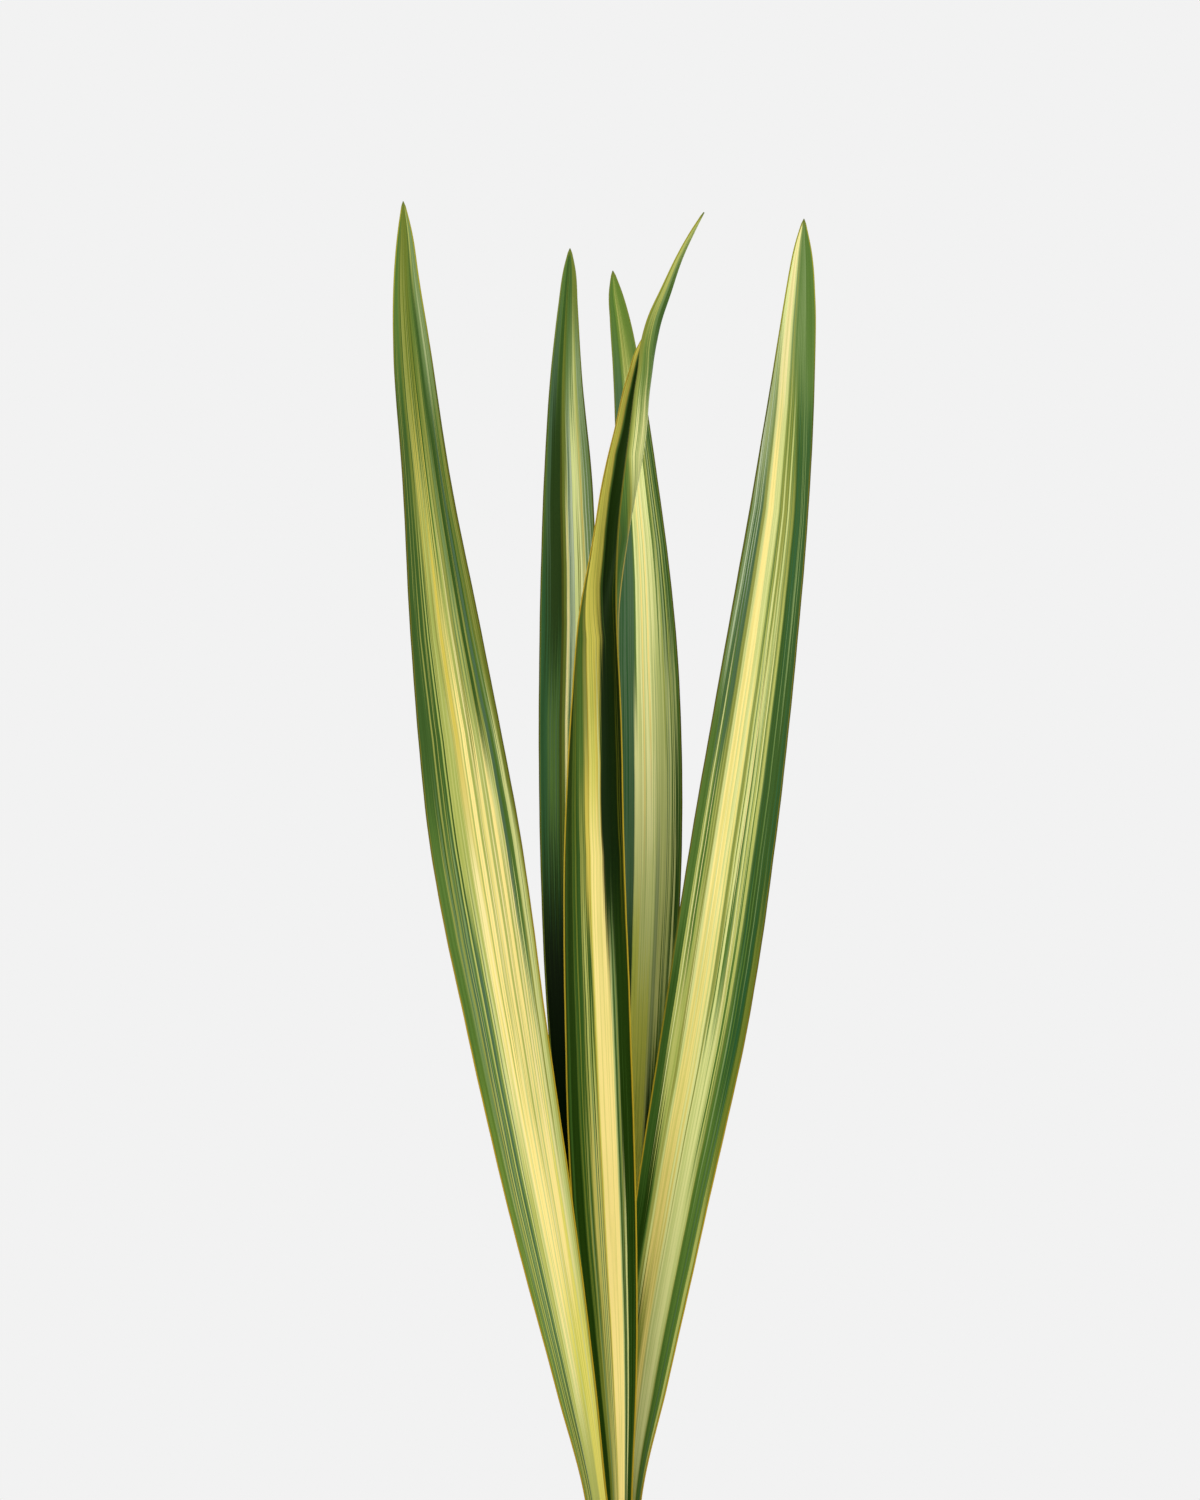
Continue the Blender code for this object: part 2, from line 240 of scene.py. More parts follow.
LEAF_CENTRE = (
    (130, 0, -5, 9, 0, 12, 12),
    (170, 0, -5, 9, 0, 12, 12),
    (235, 0.8, -5.5, 8.1, 0, 14, 14),
    (300, -1.7, -9, 13.8, 0, 24, 24),
    (400, -7.2, -14, 20.5, 0, 35, 35),
    (500, -12, -19, 22.4, -7, 45, 45),
    (600, -14.7, -23, 22, -10, 55, 55),
    (675, -11, -26, 21.5, -2, 68, 80),
    (713, -9, -27, 20.5, 2, 78, 95),
    (763, 1.2, -28, 19.2, 18, 85, 130),
    (822, 14.3, -29.5, 16.7, 46, 70, 138),
    (841, 16, -30, 14.3, 48, 80, 140),
    (854, 18.1, -30, 12.5, 58, 85, 130),
    (867, 20.3, -30.5, 11.4, 80, 70, 100),
    (880, 23.1, -31, 9.6, 100, 45, 60),
    (895, 28, -31.5, 6.7, 112, 40, 45),
    (916, 35.4, -32, 3.8, 112, 35, 35),
    (929, 41.5, -32.5, 2.4, 112, 25, 25),
    (940, 47.2, -33, 0.6, 112, 12, 12),
)


def plain(red, green, blue):
    """A colour written in display values from 0 to 255, as the linear values that shaders take."""
    shares = [value / 255 for value in (red, green, blue)]
    return tuple(s / 12.92 if s <= 0.04045 else ((s + 0.055) / 1.055) ** 2.4 for s in shares)


# The leaves' pigments, among them colours of painted shade, painted light and painted sheen
# Painted shade: two near-black greens that stand in for the deep shade between the leaves
PAINTED_SHADE_BLACK = plain(6, 18, 2)
PAINTED_SHADE_GREEN = plain(14, 34, 6)
DARK_GREEN = plain(34, 58, 12)
DEEP_GREEN = plain(54, 84, 30)
GREEN = plain(82, 112, 46)
VIRIDIAN = plain(44, 86, 48)
BLUE_GREEN = plain(74, 102, 72)
GREY_GREEN = plain(116, 138, 84)
SPRING_GREEN = plain(102, 127, 54)
OLIVE = plain(108, 118, 42)
KHAKI = plain(142, 146, 70)
LIME = plain(174, 178, 96)
SAGE = plain(170, 180, 128)
PALE_LIME = plain(206, 208, 136)
GOLD = plain(208, 188, 82)
STRAW = plain(210, 192, 108)
PALE_MINT = plain(228, 232, 156)
LEMON = plain(222, 212, 104)
# Painted light: gold brightened beyond the blade's own gold, for where the curled blade lies in shade
PAINTED_LIGHT_GOLD = plain(250, 236, 108)
WHEAT = plain(226, 209, 124)
BUTTER = plain(248, 226, 142)
CREAM = plain(238, 223, 156)
# Ivory, chalk and citron are pale pigments brightened beyond a blade's own colour; on the back-right blade
# they stand in partly for light that its shaded place doesn't get
IVORY = plain(248, 245, 176)
MARGIN_GOLD = plain(164, 140, 36)
RUSSET = plain(118, 104, 26)
DARK_OLIVE = plain(74, 78, 14)
# Painted sheen: a bluish white that stands in for the soft reflection of the studio lamps
PAINTED_SHEEN = plain(188, 200, 168)
CHALK = plain(234, 231, 160)
CITRON = plain(224, 222, 110)
MOSS = plain(98, 124, 46)
TIP_GOLD = plain(146, 142, 40)

# The pot's and the soil's colours
CLAY_DEEP = plain(180, 103, 68)
CLAY_BRIGHT = plain(201, 127, 90)
CLAY_MOTTLE = plain(158, 84, 54)
CLAY_GRIT_PALE = plain(214, 150, 112)
CLAY_GRIT_DARK = plain(120, 62, 42)
CLAY_LINE = plain(208, 138, 100)
CLAY_DAMP = plain(126, 72, 50)
SALT = plain(228, 208, 190)
PEAT_DARK = plain(36, 27, 21)
PEAT_PALE = plain(80, 61, 45)
BARK_DARK = plain(70, 46, 31)
BARK_PALE = plain(142, 100, 68)
BARK_OLD = plain(64, 44, 32)
GRIT_GREY = plain(176, 168, 152)
GRIT_WHITE = plain(216, 210, 196)
FLOOR_PALE = plain(238, 238, 238)
FLOOR_DULL = plain(222, 222, 222)

# A stripe is a row: colour, left and right side in hundredths of the blade's width from its left
# margin, lower and upper end in millimetres, density, and softness of the sides in hundredths. A
# density below 1 breaks it into fine lines. Density and softness can be left out. Later stripes
# lie over earlier ones.
Stripe = namedtuple("Stripe", "colour left right bottom top density soft", defaults=(1, 0.8))

STRIPES_LEFT = (
    (OLIVE, 0, 36, 0, 350, 1, 2),
    (SPRING_GREEN, 0, 10, 0, 470, 1, 2),
    (GREY_GREEN, 8, 36, 300, 620, 1, 2),
    (GREEN, 14, 36, 300, 640, 0.45),
    (BLUE_GREEN, 9, 34, 230, 620, 0.4),
    (DEEP_GREEN, 0, 20, 620, 850, 1, 1.5),
    (DEEP_GREEN, 10, 34, 560, 790, 0.5),
    (OLIVE, 18, 66, 770, 925, 1, 3),
    (KHAKI, 22, 42, 760, 910, 0.7),
    (KHAKI, 27, 74, 600, 810, 1, 2),
    (LIME, 29, 70, 600, 790, 0.75),
    (PALE_LIME, 33, 98, 0, 660, 1, 1.5),
    (CREAM, 37, 86, 280, 600, 1, 2),
    (STRAW, 37, 51, 600, 730, 1, 1.2),
    (GOLD, 40, 44, 640, 770, 0.85),
    (GOLD, 28, 50, 740, 820, 0.25),
    (BUTTER, 39, 82, 330, 540, 0.6),
    (BUTTER, 45, 53, 360, 700, 1, 0.6),
    (BUTTER, 57, 62, 340, 710, 1, 0.6),
    (BUTTER, 67, 73, 380, 640, 1, 0.6),
    (CREAM, 56.5, 59.5, 640, 775, 1, 0.6),
    (LEMON, 55, 98, 200, 350, 1, 2),
    (LEMON, 79, 84, 330, 440, 1, 0.8),
    (LIME, 36, 66, 0, 290, 1, 3),
    (LIME, 53, 57, 500, 740, 1, 0.4),
    (LIME, 62.5, 65, 420, 640, 1, 0.4),
    (LIME, 34, 98, 460, 720, 0.26),
    (CREAM, 50, 68, 520, 700, 0.6),
    (PALE_LIME, 36, 86, 280, 480, 0.26),
    (LIME, 33, 39.5, 200, 430, 1, 1),
    (GREY_GREEN, 60, 76, 670, 800, 0.4),
    (GREY_GREEN, 58, 74, 730, 830, 1, 1.5),
    (GREEN, 46, 72, 740, 900, 0.45),
    (BLUE_GREEN, 73, 84, 690, 910, 1, 1.5),
    (GREEN, 76, 83, 650, 720, 1, 1.5),
    (GREY_GREEN, 80, 92, 510, 770, 1, 1),
    (GREEN, 80, 92, 540, 800, 0.5),
    (PALE_LIME, 79, 93, 430, 680, 0.36),
    (LIME, 93, 98.5, 200, 640, 1, 0.6),
    (OLIVE, 92, 98.5, 600, 800, 1, 0.6),
    (KHAKI, 86.6, 88.4, 420, 560, 1, 0.4),
    (KHAKI, 7.5, 9, 520, 640, 1, 0.4),
    (KHAKI, 12.5, 14.2, 230, 790, 1, 0.4),
    (LIME, 15.5, 16.8, 330, 470, 1, 0.4),
    (KHAKI, 18.5, 20, 690, 800, 1, 0.4),
    (LIME, 22.8, 24.4, 240, 770, 1, 0.4),
    (PALE_LIME, 30.5, 31.8, 230, 700, 1, 0.4),
    (LIME, 20, 36, 560, 780, 0.28),
    (LIME, 4, 36, 150, 560, 0.14),
    (KHAKI, 4, 20, 560, 860, 0.1),
    (KHAKI, 56, 96, 640, 860, 0.28),
    (DEEP_GREEN, 70, 86, 720, 860, 0.55),
    (DEEP_GREEN, 71.5, 75.5, 650, 860, 1, 0.6),
    (BLUE_GREEN, 79, 82.5, 560, 830, 1, 0.6),
    (GREY_GREEN, 85.5, 87.5, 640, 820, 1, 0.4),
    (DEEP_GREEN, 66, 80, 800, 920, 1, 2),
    (DEEP_GREEN, 20, 66, 780, 920, 0.28),
    (OLIVE, 84, 98, 700, 850, 0.6),
    (GREY_GREEN, 74, 98, 836, 930, 1, 4),
    # Painted highlight: the sage row stands in for the grey-white sheen near the right margin at the top
    (SAGE, 82, 91, 846, 900, 0.5, 4),
    (LIME, 69, 77, 905, 935, 1, 2),
    (DEEP_GREEN, 2, 16, 600, 860, 0.35),
)
STRIPES_RIGHT = (
    # Painted shadow: the dark rows at the left margin from the soil up to 540 mm, here and below, stand in
    # for the shadow of the centre leaf
    (DARK_GREEN, 0, 20, 0, 470, 1, 2),
    (SPRING_GREEN, 70, 100, 0, 470, 1, 1.5),
    (GREEN, 76, 92, 0, 520, 1, 1.5),
    (BLUE_GREEN, 86, 91, 0, 520, 0.5),
    (DEEP_GREEN, 0, 12, 400, 540, 1, 2),
    (DEEP_GREEN, 73, 100, 470, 850, 1, 1.5),
    (GREEN, 73, 84, 440, 760, 0.6),
    (VIRIDIAN, 76, 100, 460, 840, 0.4),
    (GREY_GREEN, 3, 26, 690, 870, 1, 2),
    (GREEN, 10, 26, 640, 800, 0.7),
    (BLUE_GREEN, 8, 26, 640, 800, 0.6),
    (KHAKI, 22, 76, 0, 810, 1, 1.5),
    (LIME, 26, 76, 330, 740, 0.7),
    (PALE_LIME, 27, 50, 0, 860, 1, 1),
    (BUTTER, 30.5, 49, 540, 720, 1, 1),
    (BUTTER, 31.5, 40, 700, 880, 1, 1),
    (WHEAT, 30, 50, 400, 550, 1, 1),
    (PALE_LIME, 42, 50, 690, 840, 1, 0.8),
    (PALE_LIME, 28, 52, 840, 960, 1, 1),
    (CREAM, 26, 44, 840, 928, 1, 1),
    (STRAW, 29, 50, 200, 430, 1, 1.5),
    # Painted shadow: olive and dark green over the lower left of the blade, where the centre leaf shades it
    (OLIVE, 20, 42, 0, 345, 1, 4),
    (DARK_GREEN, 0, 33, 0, 345, 1, 3),
    (PALE_LIME, 31, 50, 380, 700, 0.28),
    (KHAKI, 50, 53.2, 420, 860, 1, 0.4),
    (PALE_LIME, 54.5, 56, 300, 700, 1, 0.4),
    (CREAM, 59.5, 61, 420, 700, 1, 0.4),
    (PALE_LIME, 62, 63.5, 300, 740, 1, 0.4),
    (CREAM, 65, 66.8, 420, 700, 1, 0.4),
    (PALE_LIME, 69, 70.5, 420, 720, 1, 0.4),
    (PALE_LIME, 54, 70, 440, 700, 0.4),
    (GREEN, 52, 74, 380, 800, 0.28),
    (GREY_GREEN, 51, 72, 400, 900, 0.22),
    (OLIVE, 54, 72, 740, 880, 0.3),
    (PALE_LIME, 56, 58.5, 700, 870, 1, 0.8),
    (KHAKI, 61, 62.5, 700, 870, 1, 0.6),
    (PALE_LIME, 65.5, 68, 700, 840, 1, 0.8),
    (PALE_LIME, 48, 68, 340, 500, 0.8),
    (PALE_LIME, 52, 74, 240, 420, 1, 2),
    (LIME, 9, 27, 480, 640, 0.35),
    (CREAM, 17, 27, 480, 640, 0.18),
    (LIME, 15, 26, 430, 520, 0.6),
    (PALE_LIME, 12.5, 13.8, 440, 700, 1, 0.4),
    # Painted sheen: the sage row and the bluish-white rows near the left margin stand in for the sheen there
    (SAGE, 4, 22, 800, 880, 0.7, 2),
    (PALE_MINT, 10, 30, 870, 935, 1, 2),
    (PAINTED_SHEEN, 3.5, 8, 690, 870, 0.8, 1),
    (PAINTED_SHEEN, 5, 20, 740, 880, 0.3, 1),
    (GREY_GREEN, 50, 120, 856, 960, 1, 2),
    (GREEN, 60, 120, 850, 960, 0.45),
    (GREEN, 92, 120, 850, 925, 1, 4),
    (KHAKI, 52, 60, 820, 950, 0.7),
    (GREY_GREEN, 74, 94, 420, 900, 0.12),
    (OLIVE, 93, 98, 330, 560, 1, 0.6),
    (OLIVE, 115, 120, 880, 960, 1, 2),
    (LIME, 92.5, 97, 230, 400, 1, 0.6),
)
STRIPES_BACK_LEFT = (
    (DEEP_GREEN, 0, 100, 0, 960, 1, 2),
    (OLIVE, 0, 10, 830, 960, 1, 2),
    (OLIVE, 70, 100, 860, 960, 1, 2),
    (VIRIDIAN, 0, 40, 480, 760, 1, 2),
    (GREEN, 0, 26, 780, 960, 0.8, 2),
    (BLUE_GREEN, 5, 22, 740, 890, 1, 2),
    (GREEN, 13, 32, 590, 690, 1, 3),
    (BLUE_GREEN, 15, 32, 590, 690, 0.5),
    (DARK_GREEN, 13, 34, 700, 850, 1, 1.5),
    (DARK_GREEN, 4, 26, 690, 770, 0.6, 2),
    (DARK_OLIVE, 33, 37, 560, 830, 1, 0.6),
    (OLIVE, 37, 42, 560, 890, 1, 0.6),
    (GREY_GREEN, 42, 95, 620, 880, 1, 1.5),
    (OLIVE, 37, 50, 800, 900, 0.8),
    (PALE_LIME, 43, 58, 640, 830, 0.6),
    (CREAM, 43, 47, 620, 790, 1, 0.6),
    # Painted sheen: the bluish-white row and the pale mint row beside it stand in for the soft reflection
    # down the middle of the blade, over paler stripes of its own
    (PAINTED_SHEEN, 47.5, 57, 690, 830, 1, 0.8),
    (BLUE_GREEN, 49, 52, 640, 830, 0.8, 0.4),
    (PALE_MINT, 57.5, 67, 620, 840, 1, 0.8),
    (IVORY, 67, 78, 600, 870, 1, 1),
    (PALE_LIME, 66, 78, 600, 870, 0.35),
    (STRAW, 73.5, 77, 740, 840, 1, 0.6),
    (KHAKI, 62, 74, 640, 780, 0.35),
    (GREY_GREEN, 79, 97, 560, 880, 1, 1),
    # Painted sheen: fine bluish-white lines along the right margin
    (PAINTED_SHEEN, 79, 97, 640, 870, 0.3),
    (BLUE_GREEN, 80, 97, 560, 840, 0.3),
    (LIME, 74, 82, 820, 880, 1, 2),
    (GREEN, 48, 70, 830, 940, 0.6),
    # Painted shade: these three rows darken the blade's lower part to near black, standing in for the shade
    # behind the left and centre leaves
    (PAINTED_SHADE_GREEN, 0, 100, 340, 568, 1, 2),
    (DARK_GREEN, 0, 45, 470, 600, 0.6, 2),
    (PAINTED_SHADE_BLACK, 0, 100, 380, 550, 1, 2),
)
STRIPES_BACK_LEFT_UNDER = (
    (DEEP_GREEN, 0, 140, 0, 960, 1, 2),
    (VIRIDIAN, 0, 36, 200, 780, 1, 2),
    (GREEN, 6, 34, 260, 930, 0.45),
    (GREEN, 60, 98, 200, 900, 0.5),
    (KHAKI, 36, 42, 240, 880, 0.8),
    (GREY_GREEN, 42, 78, 420, 900, 1, 1.5),
    (LIME, 44, 66, 560, 900, 0.6),
    (PALE_LIME, 50, 60, 620, 870, 0.6),
    (BLUE_GREEN, 66, 92, 480, 860, 0.4),
)
STRIPES_BACK_RIGHT = (
    (GREEN, 0, 100, 0, 960, 1, 2),
    # Partly painted shade: the blue-green rows along the left margin are the blade's green, darkened to stand
    # in for shade from the centre leaf in front
    (BLUE_GREEN, 0, 28, 440, 860, 1, 2),
    (BLUE_GREEN, 4, 27, 480, 790, 1, 1.5),
    (VIRIDIAN, 4, 24, 600, 790, 0.4),
    (MOSS, 30, 100, 790, 940, 1, 3),
    (KHAKI, 36, 84, 790, 862, 1, 4),
    (LIME, 38, 78, 790, 858, 0.5),
    (LIME, 40, 62, 780, 905, 0.45),
    (KHAKI, 44, 50, 800, 900, 1, 1),
    # Painted light, in part: the citron, ivory and chalk rows here and near the end are the blade's own pale
    # middle stripe made brighter, standing in for light on a blade that lies in the shade of the leaves in
    # front
    (LIME, 25, 58, 0, 520, 1, 1.5),
    (PALE_LIME, 28, 60, 430, 640, 1, 1),
    (CITRON, 28, 56, 380, 565, 1, 1.5),
    (PALE_MINT, 31, 68, 520, 830, 1, 1),
    (IVORY, 34, 64, 580, 690, 1, 1.2),
    (CHALK, 34, 64, 680, 810, 1, 1.2),
    (PALE_LIME, 34, 62, 560, 800, 0.25),
    (BUTTER, 40, 43, 600, 800, 1, 0.4),
    (BUTTER, 50, 53, 640, 800, 1, 0.4),
    (SAGE, 60, 67, 440, 700, 1, 0.6),
    (CHALK, 67, 73, 480, 730, 1, 0.6),
    (PALE_LIME, 60, 76, 640, 760, 0.7),
    (SAGE, 74, 80, 640, 730, 1, 0.6),
    (GREY_GREEN, 74, 97, 440, 860, 0.5),
    (PALE_LIME, 66, 94, 500, 700, 0.6),
    (DEEP_GREEN, 72, 97, 700, 860, 0.6),
    (LIME, 74.2, 76.4, 640, 830, 1, 0.8),
    (SAGE, 79.7, 81.5, 600, 840, 1, 0.8),
    (LIME, 84.2, 86.2, 680, 820, 1, 0.8),
    (GREY_GREEN, 89.6, 91.6, 620, 800, 1, 0.8),
    (GREEN, 56, 74, 640, 860, 0.2),
    (PALE_LIME, 60, 71, 600, 690, 1, 1.5),
    (DEEP_GREEN, 86, 100, 520, 660, 0.7, 2),
    (DARK_GREEN, 0, 24, 0, 540, 1, 2),
    (CHALK, 25.5, 36, 540, 670, 1, 1.2),
    (CITRON, 25, 36, 470, 560, 1, 1.2),
    (DARK_GREEN, 60, 100, 0, 470, 0.75, 2),
)
STRIPES_CENTRE = (
    (DARK_GREEN, 0, 22, 0, 760, 1, 1.5),
    (DEEP_GREEN, 5, 10, 200, 620, 0.6),
    (OLIVE, 22, 50, 0, 960, 1, 2),
    (DEEP_GREEN, 20, 40, 330, 760, 0.6),
    (KHAKI, 34, 50, 200, 640, 0.8),
    (KHAKI, 43, 50, 620, 720, 1, 2),
    (GREEN, 30, 42, 620, 730, 0.6),
    (KHAKI, 28, 50, 200, 440, 0.7),
    (LIME, 38, 50, 200, 560, 0.65),
    (STRAW, 36, 49, 200, 450, 0.45),
    (GREY_GREEN, 30, 46, 200, 480, 0.25),
    (DEEP_GREEN, 24, 48, 300, 620, 0.25),
    # Painted shade: this near-black row stands in for the shade inside the blade's curl and fold
    (PAINTED_SHADE_GREEN, 60, 200, 0, 960, 1, 3),
    (DARK_GREEN, 64, 100, 0, 560, 1, 2),
    (DARK_OLIVE, 90, 98, 560, 760, 0.4),
    (DARK_GREEN, 79, 200, 745, 960, 1, 3),
    (GREEN, 50, 68.5, 660, 960, 1, 2),
    (GREEN, 50, 72.5, 705, 960, 1, 2),
    (GREEN, 50, 79.5, 730, 960, 1, 1.5),
    (GOLD, 49.5, 66, 590, 960, 1, 1.5),
    (GOLD, 49.5, 68.5, 680, 960, 1, 1.5),
    (GOLD, 49.5, 70.5, 702, 960, 1, 1.5),
    (GOLD, 49.5, 73.5, 718, 960, 1, 1.5),
    (GOLD, 49.5, 76.5, 732, 960, 1, 1.5),
    # Painted light: the lemon row and the brightened gold rows from 560 mm up stand in for light on the gold
    # band where the curl shades it; the band's hue is the blade's own gold
    (LEMON, 50.5, 60, 560, 700, 1, 2),
    (GOLD, 44, 50, 560, 640, 1, 1),
    (PAINTED_LIGHT_GOLD, 50, 65, 700, 800, 1, 2),
    (PAINTED_LIGHT_GOLD, 50, 70, 715, 800, 1, 2),
    (PAINTED_LIGHT_GOLD, 50, 75.5, 736, 800, 1, 2),
    (PAINTED_LIGHT_GOLD, 50, 73, 796, 890, 1, 2.5),
    (BUTTER, 50, 63.5, 480, 610, 1, 1.2),
    (BUTTER, 50, 66, 470, 592, 1, 1.2),
    (BUTTER, 50, 68, 460, 575, 1, 1.2),
    (BUTTER, 50, 70, 440, 545, 1, 1),
    (BUTTER, 50, 71.3, 420, 522, 1, 1),
    (BUTTER, 50, 72.5, 0, 500, 1, 0.8),
    (LEMON, 49.7, 51, 0, 620, 1, 0.4),
    (PALE_LIME, 72, 74.5, 230, 540, 1, 0.6),
    (PALE_LIME, 63.2, 65, 600, 700, 1, 0.6),
    (GREY_GREEN, 73.5, 80, 230, 540, 0.7),
    (DEEP_GREEN, 75, 76.5, 230, 540, 1, 0.5),
    (PALE_LIME, 80, 82.5, 230, 400, 1, 0.6),
    (KHAKI, 78, 79.5, 380, 520, 1, 0.5),
    (DEEP_GREEN, 83, 96, 200, 480, 0.4),
    (MARGIN_GOLD, 49, 49.9, 0, 700, 0.9, 0.4),
)
STRIPES_CENTRE_UNDER = (
    (GREEN, 0, 140, 0, 960, 1, 2),
    (DEEP_GREEN, 0, 140, 0, 790, 0.7, 3),
    (DARK_OLIVE, 112, 140, 700, 790, 0.6, 4),
    (MARGIN_GOLD, 90, 100.5, 700, 772, 1, 1.2),
    (KHAKI, 90, 97, 790, 846, 1, 2),
    (LIME, 50, 94.5, 788, 846, 1, 2),
    (PALE_LIME, 60, 91.5, 792, 842, 1, 2),
    (CREAM, 76, 88, 806, 836, 0.35),
    (GREEN, 62, 92, 780, 850, 0.18),
    (KHAKI, 92, 140, 836, 880, 1, 2),
    (GREEN, 50, 94, 852, 872, 1, 3),
    (KHAKI, 74, 140, 870, 960, 1, 2),
    (LIME, 78, 140, 896, 960, 1, 2),
    (LIME, 78, 88, 858, 912, 1, 1.2),
    (STRAW, 81, 85, 852, 905, 1, 1.2),
    (GREY_GREEN, 66, 76, 866, 918, 1, 2),
    (DEEP_GREEN, 50, 68, 856, 908, 1, 2),
    (GREEN, 55, 90, 846, 874, 0.6),
    (LIME, 0, 140, 932, 960, 1, 2),
    (PALE_LIME, 0, 140, 944, 960, 1, 2),
    (OLIVE, 92, 97, 850, 925, 1, 2),
)

# Under: the under face's own stripes. Drift: how far the stripes move towards the left margin, in
# shares of the width at heights in millimetres. Framed: stripes are placed across the width that
# shows from the front, not across the unrolled blade. Margins: the heights in millimetres where the
# left and the right margin turn from gold to dark; 0 also leaves the tip without gold.
Leaf = namedtuple("Leaf", "node slot stations stripes under drift framed margins")
UNDER_DRIFT = ((0, 0), (703, 0), (763, 0.21), (807, 0), (950, 0))
LEAVES = (
    Leaf("leaf_left", "leaf_yellow_centre", LEAF_LEFT, STRIPES_LEFT, None,
         ((0, -0.005), (420, -0.015), (500, -0.03), (655, -0.035), (710, -0.005), (950, 0)),
         True, (560, 560)),
    Leaf("leaf_back_left", "leaf_dark", LEAF_BACK_LEFT, STRIPES_BACK_LEFT, STRIPES_BACK_LEFT_UNDER,
         ((0, -0.02), (664, -0.02), (719, -0.055), (752, -0.045), (785, -0.01), (830, 0), (950, 0)),
         True, (0, 0)),
    Leaf("leaf_centre", "leaf_yellow_centre", LEAF_CENTRE, STRIPES_CENTRE, STRIPES_CENTRE_UNDER,
         ((0, 0), (590, 0), (642, 0.07), (675, 0.14), (708, 0.2), (736, 0.385), (763, 0.5), (785, 0.585),
          (807, 0.65), (829, 0.64), (843, 0.63), (854, 0.66), (865, 0.69), (950, 0.69)),
         False, (1100, 710)),
    Leaf("leaf_back_right", "leaf_pale", LEAF_BACK_RIGHT, STRIPES_BACK_RIGHT, None,
         ((0, 0), (697, 0), (741, -0.02), (763, -0.022), (785, -0.01), (807, 0), (950, 0)), True, (0, 0)),
    Leaf("leaf_right", "leaf_yellow_centre", LEAF_RIGHT, STRIPES_RIGHT, None,
         ((0, 0), (780, 0), (840, 0.07), (885, 0.16), (925, 0.2), (950, 0.2)), True, (480, 480)),
)


class Graph:
    """A material whose nodes are added and linked one call at a time."""

    def __init__(self, name):
        self.material = bpy.data.materials.new(name)
        self.material.use_nodes = True
        self.tree = self.material.node_tree
        self.shader = self.tree.nodes["Principled BSDF"]

    def feed(self, socket, value):
        """Link a socket to the value's socket, or set it where the value is constant."""
        if isinstance(value, bpy.types.NodeSocket):
            self.tree.links.new(value, socket)
        else:
            socket.default_value = value

    def add(self, kind, **settings):
        made = self.tree.nodes.new(f"ShaderNode{kind}")
        for key, value in settings.items():
            setattr(made, key, value)
        return made

    def attribute(self, name):
        return self.add("Attribute", attribute_name=name).outputs["Fac"]

    def math(self, operation, first, second=0.0):
        made = self.add("Math", operation=operation)
        for socket, value in zip(made.inputs, (first, second)):
            self.feed(socket, value)
        return made.outputs[0]

    def times(self, first, second):
        return self.math("MULTIPLY", first, second)

    def plus(self, first, second):
        return self.math("ADD", first, second)

    def mix(self, share, first, second, blend="MIX"):
        """Two colours mixed by a share from 0, all the first, to 1, all the second."""
        made = self.add("Mix", data_type="RGBA", blend_type=blend)
        self.feed(made.inputs["Factor"], share)
        for socket, value in ((made.inputs[6], first), (made.inputs[7], second)):
            self.feed(socket, value if isinstance(value, bpy.types.NodeSocket) else (*value, 1.0))
        return made.outputs[2]

    def step(self, value, low, high):
        """0 below the low value, 1 above the high one and smooth between them."""
        made = self.add("MapRange", interpolation_type="SMOOTHSTEP")
        for name, setting in (("Value", value), ("From Min", low), ("From Max", high)):
            self.feed(made.inputs[name], setting)
        return made.outputs["Result"]

    def band(self, value, low, high, soft, end):
        """1 between a low and a high value and 0 outside them, open towards 0 and the scale's end."""
        if low - soft <= 0:
            return self.step(value, high + soft, high - soft)
        if high + soft >= end:
            return self.step(value, low - soft, low + soft)
        distance = self.math("ABSOLUTE", self.math("SUBTRACT", value, (low + high) / 2))
        reach = (high - low) / 2
        return self.step(distance, reach + soft, max(reach - soft, 0.0))

    def place(self, x, y, z):
        made = self.add("CombineXYZ")
        for socket, value in zip(made.inputs, (x, y, z)):
            self.feed(socket, value)
        return made.outputs[0]

    def along(self, across, rise, rates, seed):
        """A place on the blade, stretched by its rates across and along it, for a noise."""
        return self.place(self.times(across, rates[0]), self.times(rise, rates[1]), seed)

    def object_place(self):
        return self.add("TexCoord").outputs["Object"]

    def noise(self, where, scale=1, detail=2, roughness=0.5):
        made = self.add("TexNoise")
        self.feed(made.inputs["Vector"], where)
        for name, value in (("Scale", scale), ("Detail", detail), ("Roughness", roughness)):
            made.inputs[name].default_value = value
        return made.outputs["Fac"]

    def bump(self, height, strength, distance):
        made = self.add("Bump")
        made.inputs["Strength"].default_value = strength
        made.inputs["Distance"].default_value = distance
        self.feed(made.inputs["Height"], height)
        self.feed(self.shader.inputs["Normal"], made.outputs[0])

    def finish(self, colour, roughness, specular):
        looks = {"Base Color": colour, "Roughness": roughness, "Specular IOR Level": specular}
        for name, value in looks.items():
            self.feed(self.shader.inputs[name], value)
        return self.material


def striped(graph, across, rise, rows, seed, width=1.0):
    """The colour of a green blade under its stripes. One that reaches the width has no right side."""
    colour = GREEN
    where = graph.along(across, rise, LINE_RATES, seed + LINE_SEED)
    for number, row in enumerate(rows):
        stripe = Stripe(*row)
        mask = graph.band(across, stripe.left / 100, stripe.right / 100, stripe.soft / 100, width)
        length = graph.band(rise, stripe.bottom * MM, stripe.top * MM, STRIPE_END, STRIPE_TOP)
        mask = graph.times(mask, length)
        if stripe.density < 1:
            level = 0.5 + LINE_REACH * (0.5 - stripe.density)
            lines = graph.noise(where, LINE_SIZE + LINE_SIZE_STEP * (number % LINE_SIZES), 1.0)
            mask = graph.times(mask, graph.step(lines, level - LINE_SOFT, level + LINE_SOFT))
        colour = graph.mix(mask, colour, stripe.colour)
    return colour


